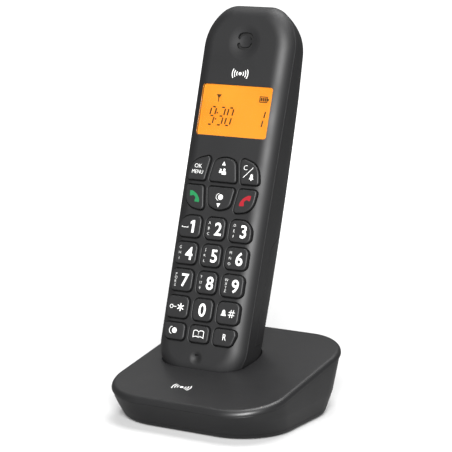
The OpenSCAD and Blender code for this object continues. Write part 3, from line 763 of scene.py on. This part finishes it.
x, z = key_mid["talk"]
key_mark("talk", [phone_outline(radians(138), 1.12, (x + 0.2, z + 0.1))], green_print)
x, z = key_mid["end"]
key_mark("end", [phone_outline(radians(222), 1.12, (x + 0.1, z + 0.2))], red_print)
x, z = key_mid["menu"]
key_mark("menu", [
    lettering("OK", 2.6, (x - 0.2, z + 1.2), -0.02),
    lettering("MENU", 2.35, (x - 0.2, z - 1.4), -0.015, 0.9),
])


def person(at, size):
    """Head and shoulders."""
    body = [(-1.3, -1.3), (1.3, -1.3)] + arc_line(1.3, 0, 180, 10, (0, -0.5))
    return [disc(0.75 * size, (at[0], at[1] + 1.35 * size)),
            patch([(size * x, size * z) for x, z in body], at)]


x, z = key_mid["up"]
arrow = patch([(-0.95, -0.8), (0.95, -0.8), (0, 0.95)], (x - 0.3, z + 2.1))
key_mark("up", [arrow] + person((x + 0.3, z - 1.7), 0.8) + person((x - 1.5, z - 1.4), 0.55))
x, z = key_mid["down"]
key_mark("down", [
    patch([(-0.95, 0.8), (0, -0.95), (0.95, 0.8)], (x - 0.1, z - 2.5)),
    disc(1.2, (x + 0.5, z + 1.1)),
    stroke(arc_line(1.5, 95, 265, 12), 0.22, (x - 0.25, z + 1.1)),
])
x, z = key_mid["clear"]
muted_shape = [(-1.1, -1.0), (1.1, -1.0), (0.75, -0.3), (0.55, 0.9), (0.0, 1.4), (-0.55, 0.9), (-0.75, -0.3)]
key_mark("clear", [
    lettering("C", 3.1, (x - 2.1, z + 2.2), -0.03),
    stroke([(-2.3, -2.2), (2.0, 2.4)], 0.24, (x - 0.4, z)),
    patch(muted_shape, (x + 1.4, z - 1.7)),
    disc(0.3, (x + 1.4, z - 2.95)),
])

x, z = key_mid["star"]
rays = [(1.75 * cos(a), 1.75 * sin(a)) for a in (radians(30), radians(90), radians(150))]
key_mark("star", [stroke([(-u, -v), (u, v)], 0.46, (x + 1.7, z)) for u, v in rays] + [
    stroke(arc_line(0.75, 0, 360, 20), 0.24, (x - 2.9, z)),
    stroke([(-0.3, 0), (1.5, 0)], 0.26, (x - 1.9, z)),
])
x, z = key_mid["hash"]
bell = [
    (-1.5, -1.3), (1.5, -1.3), (1.5, -0.95), (1.0, -0.3), (0.85, 0.9),
    (0.3, 1.5), (-0.3, 1.5), (-0.85, 0.9), (-1.0, -0.3), (-1.5, -0.95),
]
hash_lines = [
    ((-0.75, -1.7), (-0.25, 1.7)), ((0.35, -1.7), (0.85, 1.7)),
    ((-1.45, 0.6), (1.6, 0.6)), ((-1.6, -0.6), (1.45, -0.6)),
]
bell_patch = patch([(0.8 * a, 0.9 * b) for a, b in bell], (x - 1.9, z))
key_mark("hash", [bell_patch] + [stroke(line, 0.3, (x + 2.0, z)) for line in hash_lines])

x, z = key_mid["intercom"]
key_mark("intercom", [disc(1.2, (x + 1.1, z)), stroke(arc_line(1.6, 100, 260, 12), 0.24, (x + 0.1, z))])
x, z = key_mid["book"]
page = [
    (0.0, -1.25), (0.0, 1.15), (0.9, 1.65), (2.0, 1.6), (2.55, 1.2),
    (2.55, -1.45), (1.9, -1.1), (0.9, -0.95), (0.0, -1.25),
]
key_mark("book", [stroke(page, 0.28, (x, z)), stroke([(-a, b) for a, b in page], 0.28, (x, z))])
x, z = key_mid["recall"]
key_mark("recall", [lettering("R", 3.9, (x - 0.4, z), -0.02, 0.85)])


# A small mark, three pairs of waves round a dot, stands over the display.
def wave_mark(scale, at):
    marks = [disc(0.85 * scale, at)]
    for r in (2.0, 3.3, 4.6):
        for first in (-31, 149):
            marks.append(stroke(arc_line(r * scale, first, first + 62, 12), 0.44 * scale, at))
    return marks


stamp("mark_face", wave_mark(0.86, (0.3, 134.8)), "handset", white_print, 0.0)

# ---------------------------------------------------------------------------
# Display: an amber backlit panel with dark segments, behind a clear plastic
# window that is glued into the face a hair below its surface.
window_sink, window_t, lcd_front, board_front = 0.15, 0.9, 2.0, 4.7
amber, shader, add, put = new_material("lcd_amber")
place = add("ShaderNodeTexCoord")
fall = add("ShaderNodeTexNoise", Vector=place.outputs["Object"], Scale=30.0, Detail=1.0)
mesh_dots = add("ShaderNodeTexNoise", Vector=place.outputs["Object"], Scale=4200.0, Detail=0.0)
both = add("ShaderNodeMath")
both.operation = "MULTIPLY_ADD"
put(both, 0, mesh_dots.outputs["Fac"])
both.inputs[1].default_value = 0.18
put(both, 2, fall.outputs["Fac"])
tone = add("ShaderNodeMapRange", Value=both.outputs["Value"], From_Min=0.4, From_Max=0.8)
blend = add("ShaderNodeValToRGB", Fac=tone.outputs["Result"])
blend.color_ramp.elements[0].color = (0.95, 0.33, 0.02, 1)
blend.color_ramp.elements[1].color = (1.0, 0.4, 0.034, 1)
put(shader, "Base Color", (0.2, 0.06, 0.006, 1))
put(shader, "Emission Color", blend.outputs["Color"])
put(shader, "Emission Strength", 1.0)
put(shader, "Roughness", 0.35)
glass_front = window_sink + window_t + 0.1
panel = prism("lcd_panel", window_corners, [
    (-0.4, glass_front), (-0.25, glass_front + 0.1), (-0.25, lcd_front + 0.05), (0.7, lcd_front + 0.1),
    (1.0, lcd_front + 0.3), (1.0, board_front),
], 8)
finish_piece(panel, "handset", ["lcd_module"], amber, HANDSET)

segment_ink = moulded_plastic(
    "segment_ink", (0.03, 0.012, 0.003), (0.06, 0.024, 0.006), (0.6, 0.5), 3000.0, 0.02)


def segments(lit, at, width=2.5, tall=7.9, thick=0.62, slant=0.16):
    """The lit bars of one seven-bar figure; a is the top bar and g the middle one."""
    w, h, gap = width / 2, tall / 2, 0.24
    bars = {
        "a": ((-w, h), (w, h)), "b": ((w, h), (w, 0)), "c": ((w, 0), (w, -h)), "d": ((-w, -h), (w, -h)),
        "e": ((-w, 0), (-w, -h)), "f": ((-w, h), (-w, 0)), "g": ((-w, 0), (w, 0)),
    }
    marks = []
    for bar in lit:
        a, b = (Vector(p) for p in bars[bar])
        way = (b - a).normalized()
        ends = [a + way * (gap + thick / 2), b - way * (gap + thick / 2)]
        marks.append(stroke([(p.x + slant * p.y, p.y) for p in ends], thick, at))
    return marks


clock_z, antenna, battery = 115.6, (-9.1, 123.6), (13.6, 124.2)
lcd_marks = segments("abcdfg", (-11.2, clock_z)) + segments("abcdg", (-6.6, clock_z))
lcd_marks += segments("abcdef", (-2.4, clock_z))
lcd_marks += [disc(0.38, (-8.9 + side * 0.2, clock_z + side * 1.4)) for side in (1, -1)]
lcd_marks += segments("bc", (13.6, clock_z))
lcd_marks += [
    stroke([(0, -1.7), (0, 1.4)], 0.42, antenna),
    patch([(-1.3, 1.6), (0, -0.1), (1.3, 1.6)], antenna),
]
lcd_marks += [
    stroke([(-2, -1.2), (1.7, -1.2), (1.7, 1.2), (-2, 1.2), (-2, -1.2)], 0.36, battery),
    stroke([(2.15, -0.5), (2.15, 0.5)], 0.5, battery),
]
lcd_marks += [stroke([(u, -0.75), (u, 0.75)], 0.75, battery) for u in (-1.2, -0.15, 0.9)]
stamp("lcd_segments", lcd_marks, "handset", segment_ink, glass_front - 0.025)

clear, shader, add, put = new_material("window_clear")
place = add("ShaderNodeTexCoord")
smudge = add("ShaderNodeTexNoise", Vector=place.outputs["Object"], Scale=90.0, Detail=4.0)
wipe = add(
    "ShaderNodeMapRange", Value=smudge.outputs["Fac"], From_Min=0.4, From_Max=0.75, To_Min=0.03, To_Max=0.09)
put(shader, "Base Color", (1.0, 0.93, 0.82, 1))
put(shader, "Roughness", wipe.outputs["Result"])
put(shader, "Transmission Weight", 1.0)
put(shader, "IOR", 1.3)
window = prism("window", window_corners, [
    (-0.35, window_sink), (-0.1, window_sink + 0.07), (0, window_sink + 0.3), (0, window_sink + window_t),
], 8)
finish_piece(window, "handset", ["display_window"], clear, HANDSET)

# ---------------------------------------------------------------------------
# Base: a moulded cover with a sloping top, a softly rounded rim and walls that
# lean in towards the ground. The handset's cradle is sunk into the top.
base_w, base_d, base_front_h, base_back_h = 83.6, 86.0, 13.8, 29.2
corner_top_r, corner_low_r = 21.7, 23.5
front_inset, back_inset, side_inset = 6.4, 9.5, 2.4
base_wall, dock_gap, plate_top, seam_gap = 2.0, 0.5, 2.5, 0.1
top_slope = (base_back_h - base_front_h) / base_d
tilt_fit = 1 - (1 - cos(atan2(top_slope, 1))) * corner_top_r / (base_d / 2)
feet_low, feet_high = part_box("base_feet")
feet_mid_y = 1.0
base_y = (feet_low.y + feet_high.y) / 2 - feet_mid_y * MM
BASE = Matrix.Translation((0, base_y, cad_box[0].z)) @ Matrix.Scale(MM, 4)
SEATED = BASE.inverted() @ HANDSET


def top_z(y):
    """Height of the sloping top at a place along the base's depth."""
    return base_front_h + top_slope * (y + base_d / 2)


def base_level(z, grow=0.0):
    """The base's outline at one height above the ground."""
    curve = max(0.0, 1 - z / base_front_h) ** 1.2
    half, back = base_w / 2 - side_inset * curve, base_d / 2 - back_inset * (1 - z / base_back_h)
    front, r = -base_d / 2 + front_inset * curve, corner_top_r + (corner_low_r - corner_top_r) * curve
    line = rounded(box_corners(-half, half, front, back, r), grow, 14, (5, 5, 5, 5))
    return [(p.x, p.y, z) for p in line]


def base_brim(inset, drop):
    """The outline along the sloping top, drawn in by an inset and lowered."""
    half, deep = base_w / 2, base_d / 2
    line = rounded(box_corners(-half, half, -deep, deep, corner_top_r), -inset, 14, (5, 5, 5, 5))
    return [(p.x, p.y * tilt_fit, top_z(p.y * tilt_fit) - drop) for p in line]


def base_form(name, grow, low):
    """The base's closed form from one height up, with a rounded rim and the fine step under it."""
    heights = [low] + [z for z in (3.8, 5.0, 6.25, 7.5, 8.75, 9.6) if z > low]
    rings = [base_level(z, grow) for z in heights]
    wall_low, wall_top = rings[-1], base_brim(0.5 - grow, 2.9)
    for part in (0.25, 0.5, 0.75, 1.0):
        rings.append([tuple(Vector(a).lerp(b, part)) for a, b in zip(wall_low, wall_top)])
    rim = 2.1
    if grow == 0:
        rings += [base_brim(0.55, 2.62), base_brim(0.18, 2.5), base_brim(0.04, 2.36)]
    for k in range(9):
        t = pi / 2 * k / 8
        rings.append(base_brim(rim * (1 - cos(t)) - grow, rim * (1 - sin(t)) - grow))
    return loft(name, rings)


base_plastic = moulded_plastic(
    "base_plastic", (0.007, 0.007, 0.0075), (0.016, 0.016, 0.0165), (0.47, 0.38), 2200.0, 0.1, 30.0)
base_cover = base_form("base_cover_shape", 0.0, plate_top + seam_gap)
combine(base_cover, base_form("inside", -base_wall, 1.0))


def seat_tool(piece):
    """Puts a shape drawn on the handset into the base's own millimetres."""
    piece.data.transform(SEATED)
    return piece


middle_form = base_form("middle", -1.0, plate_top + seam_gap)
cradle = seat_tool(whole_form("cradle_walls", dock_gap + base_wall))
combine(cradle, middle_form, "INTERSECT", keep=True)
combine(base_cover, cradle, "UNION")


def set_in(side, front, back):
    """Four places, set in from the base's sides, its front and its back."""
    half, deep = base_w / 2, base_d / 2
    return [(x, y) for x in (side - half, half - side) for y in (front - deep, deep - back)]


def post(name, x, y, r, low, high, sides=32):
    """An upright round bar on the base."""
    return loft(name, [[(x + a, y + b, z) for a, b in circle(r, sides)] for z in (low, high)])


boss_places = set_in(12, 21, 17)
bosses = join(*[post("boss", x, y, 3.2, plate_top + seam_gap, 40) for x, y in boss_places])
combine(bosses, middle_form, "INTERSECT")
combine(base_cover, bosses, "UNION")
well = whole_form("cradle_well", dock_gap)
rib_half = 0.6
for u in (-3.5, 3.5):
    combine(well, block("rib", (u - rib_half, 6, -2), (u + rib_half, 16, -0.05)))
combine(base_cover, seat_tool(well))
combine(base_cover, join(*[post("pilot", x, y, 1.2, 0, base_front_h - 3.4) for x, y in boss_places]))
slot_u, slot_m = 1.9, pad_len / 2 + 0.1
contact_slots = [
    seat_tool(block("contact_slot", (u - slot_u, pad_m - slot_m, -6), (u + slot_u, pad_m + slot_m, 2)))
    for u in (-pad_u, pad_u)
]
combine(base_cover, join(*contact_slots))
jack_z, jack_h, jack_face_y = 7.2, 11.0, base_d / 2 - 5
line_jack_x, power_jack_x, line_socket_w, power_socket_w = base_w / 2 - 23, base_w / 2 - 40, 9.8, 7.8
mouth_side, mouth_rise, mouth_reach = 1.9, 0.3, 8
jack_mouths = [
    block("jack_mouth", (x - w / 2 - mouth_side, jack_face_y - mouth_reach, jack_z - mouth_rise),
          (x + w / 2 + mouth_side, jack_face_y + mouth_reach, jack_z + jack_h + mouth_rise))
    for x, w in ((line_jack_x, line_socket_w), (power_jack_x, power_socket_w))
]
combine(base_cover, join(*jack_mouths))
page_x, page_z, page_r, page_gap, back_y = -base_w / 2 + 21, 15.0, 3.5, 0.3, base_d / 2


def lying_rings(steps):
    """Rings of a round shape that lies along the base's depth; steps give (radius, place)."""
    return [[(page_x + a, y, page_z + b) for a, b in circle(r, 40)] for r, y in steps]


page_hole = lying_rings([(page_r + page_gap, back_y - 12), (page_r + page_gap, back_y + 8)])
combine(base_cover, loft("page_hole", page_hole))

# The cradle's edge is rounded off where the handset goes in.
pick_only(base_cover)
bpy.ops.object.mode_set(mode="EDIT")
bpy.ops.mesh.select_mode(type="EDGE")
bpy.ops.mesh.select_all(action="DESELECT")
bm = bmesh.from_edit_mesh(base_cover.data)
rim_clear = 2.6
for edge in bm.edges:
    on_slope = all(abs(v.co.z - top_z(v.co.y)) < 0.02 for v in edge.verts)
    inboard = all(
        abs(v.co.x) < base_w / 2 - rim_clear and abs(v.co.y) < base_d / 2 - rim_clear for v in edge.verts)
    edge.select_set(on_slope and inboard and len(edge.link_faces) == 2 and edge.calc_face_angle() > 0.6)
bm.select_flush_mode()
bmesh.update_edit_mesh(base_cover.data)
bpy.ops.mesh.bevel(offset=0.45, segments=3, clamp_overlap=True)
bpy.ops.mesh.select_mode(type="VERT")
bpy.ops.object.mode_set(mode="OBJECT")
finish_piece(base_cover, "base", ["base_cover"], base_plastic, BASE)

# Bottom plate: closes the base from below, with a rolled edge, four screw
# wells and seats for the rubber feet.
foot_h = 0.5
steps = [(-1.5, 0.5), (-0.9, 0.6), (-0.42, 0.86), (-0.1, 1.3), (0.0, 1.8), (0.0, plate_top)]
base_plate = loft("base_plate_shape", [
    [(x, y, z) for x, y, _ in base_level(max(z, 1.0), grow)] for grow, z in steps
])
foot_places = set_in(21, 20, 18)
holes = [post("screw_hole", x, y, 1.5, -1, 10) for x, y in boss_places]
holes += [post("screw_head_well", x, y, 2.6, -1, foot_h + 1.1) for x, y in boss_places]
for hole in holes:
    combine(base_plate, hole)
combine(base_plate, join(*[post("foot_seat", x, y, 5.2, -1, foot_h + 0.5, 48) for x, y in foot_places]))
finish_piece(base_plate, "base", ["base_plate"], base_plastic, BASE)

# The same wave mark is printed on the base's top, before the cradle.
mark_x, mark_y = -6.0, -27.5
mark_turn = Matrix.Rotation(atan2(top_slope, 1) - pi / 2, 4, "X")
mark_place = BASE @ Matrix.Translation((mark_x, mark_y, top_z(mark_y))) @ mark_turn
stamp("mark_base", wave_mark(0.92, (0, 0)), "base", white_print, 0.0, mark_place)

# Paging button: a round cap with a dished top in the base's back wall.
button = loft("page_button_cap", lying_rings([
    (0.4, back_y - 3.35), (1.6, back_y - 3.3), (2.7, back_y - 3.12), (3.1, back_y - 3.0),
    (3.34, back_y - 3.1), (page_r, back_y - 3.35), (page_r, back_y - 9.8),
    (page_r + 1.2, back_y - 9.8), (page_r + 1.2, back_y - 11.0),
]))
finish_piece(button, "page_button", ["page_button"], key_plastic, BASE)

# ---------------------------------------------------------------------------
# Metal parts: sprung charging contacts in the cradle, the pads in the
# handset's foot, screws, and the tinned or nickelled parts inside.
wear = bpy.data.node_groups.new("drawn_metal", "ShaderNodeTree")
for socket, value in (("Stretch", 12.0), ("Scale", 700.0), ("Low", 0.18), ("High", 0.4)):
    wear.interface.new_socket(socket, in_out="INPUT", socket_type="NodeSocketFloat").default_value = value
for socket in ("Roughness", "Height"):
    wear.interface.new_socket(socket, in_out="OUTPUT", socket_type="NodeSocketFloat")
inside, outside = wear.nodes.new("NodeGroupInput"), wear.nodes.new("NodeGroupOutput")
where, mapping = wear.nodes.new("ShaderNodeTexCoord"), wear.nodes.new("ShaderNodeMapping")
pull, lines = wear.nodes.new("ShaderNodeCombineXYZ"), wear.nodes.new("ShaderNodeTexNoise")
pull.inputs["Y"].default_value = pull.inputs["Z"].default_value = 1.0
lines.inputs["Detail"].default_value = 3.0
wear.links.new(inside.outputs["Stretch"], pull.inputs["X"])
wear.links.new(pull.outputs["Vector"], mapping.inputs["Scale"])
wear.links.new(where.outputs["Object"], mapping.inputs["Vector"])
wear.links.new(mapping.outputs["Vector"], lines.inputs["Vector"])
wear.links.new(inside.outputs["Scale"], lines.inputs["Scale"])
spread = wear.nodes.new("ShaderNodeMapRange")
wear.links.new(lines.outputs["Fac"], spread.inputs["Value"])
wear.links.new(inside.outputs["Low"], spread.inputs["To Min"])
wear.links.new(inside.outputs["High"], spread.inputs["To Max"])
wear.links.new(spread.outputs["Result"], outside.inputs["Roughness"])
wear.links.new(lines.outputs["Fac"], outside.inputs["Height"])


def drawn_metal(name, colour, low=0.18, high=0.4, stretch=12.0, scale=700.0):
    """A metal with fine lines from rolling or turning."""
    material, shader, add, put = new_material(name)
    texture = add("ShaderNodeGroup")
    texture.node_tree = wear
    for socket, value in (("Stretch", stretch), ("Scale", scale), ("Low", low), ("High", high)):
        texture.inputs[socket].default_value = value
    put(shader, "Base Color", (*colour, 1))
    put(shader, "Metallic", 1.0)
    put(shader, "Roughness", texture.outputs["Roughness"])
    relief = add("ShaderNodeBump", Height=texture.outputs["Height"], Strength=0.15, Distance=0.01 * MM)
    put(shader, "Normal", relief.outputs["Normal"])
    return material


def paint_nodes(material, *names):
    """Gives a CAD node its finished material."""
    for name in names:
        mesh = frame["nodes"][name].data
        mesh.materials.clear()
        mesh.materials.append(material)


gilt = drawn_metal("contact_gilt", (0.86, 0.66, 0.34), 0.16, 0.32)
nickel = drawn_metal("nickel_plate", (0.72, 0.7, 0.66), 0.2, 0.38)
paint_nodes(gilt, "contact_left", "contact_right")
paint_nodes(drawn_metal("tinned_steel", (0.62, 0.63, 0.64), 0.25, 0.5, 3.0), "rf_shield")
paint_nodes(nickel, "battery_springs", "battery_plates")
screw_steel = drawn_metal("screw_steel", (0.5, 0.5, 0.52), 0.2, 0.4, 1.0, 1500.0)
paint_nodes(screw_steel, "handset_screws", "base_screws")

# Charging pads: stamped plates with rolled edges, set in the handset's foot.
for side, sign in (("left", -1), ("right", 1)):
    u, half, long = sign * pad_u, pad_w / 2, pad_len / 2
    low, high = pad_m - long, pad_m + long
    plan = [(u - half, low, 0.5), (u + half, low, 0.5), (u + half, high, 0.5), (u - half, high, 0.5)]
    pad = loft(f"charge_pad_{side}_plate", [
        [(p.x, p.y, z) for p in rounded(plan, grow, 5)]
        for grow, z in ((-0.45, 0.08), (-0.3, 0.02), (-0.12, 0.04), (0, 0.16), (0, 0.7))
    ])
    finish_piece(pad, "handset", [f"charge_pad_{side}"], nickel, HANDSET)

# ---------------------------------------------------------------------------
# Inside the handset: the circuit board with its copper under green lacquer,
# the key mat, the sound parts and the two jacketed cells.
lacquer, shader, add, put = new_material("board_lacquer")
place = add("ShaderNodeTexCoord")
cells = add("ShaderNodeTexVoronoi", Vector=place.outputs["Object"], Scale=420.0)
cells.distance = "MANHATTAN"
trace = add("ShaderNodeMapRange", Value=cells.outputs["Distance"], From_Min=0.3, From_Max=0.36)
ramp = add("ShaderNodeValToRGB", Fac=trace.outputs["Result"])
ramp.color_ramp.elements[0].color = (0.02, 0.16, 0.07, 1)
ramp.color_ramp.elements[1].color = (0.01, 0.09, 0.04, 1)
put(shader, "Base Color", ramp.outputs["Color"])
put(shader, "Roughness", 0.3)
relief = add("ShaderNodeBump", Height=trace.outputs["Result"], Strength=0.2, Distance=0.03 * MM)
put(shader, "Normal", relief.outputs["Normal"])
paint_nodes(lacquer, "main_board", "base_board")
silicone = moulded_plastic("silicone", (0.06, 0.06, 0.065), (0.11, 0.11, 0.115), (0.7, 0.6), 1500.0, 0.1)
paint_nodes(silicone, "keypad_mat")
# The sound parts get a near-black colour. Partly this is their own dark cases, and partly it is painted
# shade: the microphone, silver in itself, and the parts behind the ear slots and the mic hole are painted
# dark so that these holes read as dark.
speaker_and_slot_shade = moulded_plastic(
    "speaker_case_and_slot_shade", (0.002, 0.002, 0.002), (0.006, 0.006, 0.006), (0.85, 0.7), 1800.0, 0.3)
paint_nodes(speaker_and_slot_shade, "earpiece", "ringer", "microphone")
socket_plastic = moulded_plastic(
    "socket_plastic", (0.01, 0.01, 0.011), (0.025, 0.025, 0.026), (0.45, 0.35), 2400.0, 0.1)
paint_nodes(socket_plastic, "line_jack", "power_jack")
rubber = moulded_plastic("foot_rubber", (0.014, 0.014, 0.014), (0.03, 0.03, 0.03), (0.85, 0.7), 1300.0, 0.3)

# The cells: a printed jacket shrunk over a steel can, with a bright button.
cell_back_m, cell_gap = 23.3, 0.35
cell_mid_m = cell_back_m - cell_d / 2
jacket, shader, add, put = new_material("cell_jacket")
place = add("ShaderNodeTexCoord")
speck = add("ShaderNodeTexNoise", Vector=place.outputs["Object"], Scale=900.0, Detail=2.0)
shade = add("ShaderNodeValToRGB", Fac=speck.outputs["Fac"])
shade.color_ramp.elements[0].color = (0.02, 0.2, 0.12, 1)
shade.color_ramp.elements[1].color = (0.05, 0.34, 0.2, 1)
put(shader, "Base Color", shade.outputs["Color"])
gloss = add("ShaderNodeMapRange", Value=speck.outputs["Fac"], To_Min=0.22, To_Max=0.36)
put(shader, "Roughness", gloss.outputs["Result"])
put(shader, "Coat Weight", 0.3)
cells = []
for u, up in ((-cell_d / 2 - cell_gap, -1), (cell_d / 2 + cell_gap, 1)):
    foot = cell_low + 3.0 if up > 0 else cell_low + cell_len
    r = cell_d / 2
    profile = [
        (2.6, 0.15), (3.2, 0.0), (r - 0.5, 0.0), (r - 0.15, 0.15), (r, 0.5), (r, 42.6), (r - 0.2, 43.1),
        (r - 0.7, 43.3), (2.3, 43.3), (2.2, 43.35), (1.9, 43.4), (1.9, 44.3), (1.7, 44.5),
    ]
    cells.append(loft("cell", [
        [(u + a, cell_mid_m + b, foot + up * h) for a, b in circle(q, 40)] for q, h in profile
    ]))
finish_piece(join(*cells), "handset", ["battery_cells"], jacket, HANDSET)

# Feet: moulded rubber discs with a rolled edge, glued into the bottom plate.
foot_profile = [(4.2, 0.0), (4.7, 0.06), (4.95, 0.25), (5.0, 0.5), (5.0, 1.0)]
feet = [
    loft("foot", [[(x + a, y + b, z) for a, b in circle(r, 48)] for r, z in foot_profile])
    for x, y in foot_places
]
finish_piece(join(*feet), "base", ["base_feet"], rubber, BASE)

# Contact wires stand in the roof of each socket.
wire_r, wire_pitch = 0.23, 1.27
wire_path = [(jack_face_y - back, h) for back, h in ((1.2, 7.7), (3.5, 7.2), (6.5, 5.6), (9.6, 4.4))]
wires = []
for x, count in ((line_jack_x, 4), (power_jack_x, 2)):
    for i in range(count):
        u = x + (i - (count - 1) / 2) * wire_pitch
        wires.append(loft("wire", [
            [(u + a, y, jack_z + h + b) for a, b in circle(wire_r, 10)] for y, h in wire_path
        ]))
finish_piece(join(*wires), "base", [], gilt, BASE)

# ---------------------------------------------------------------------------
# The end: the view layer is brought up to date.
bpy.context.view_layer.update()
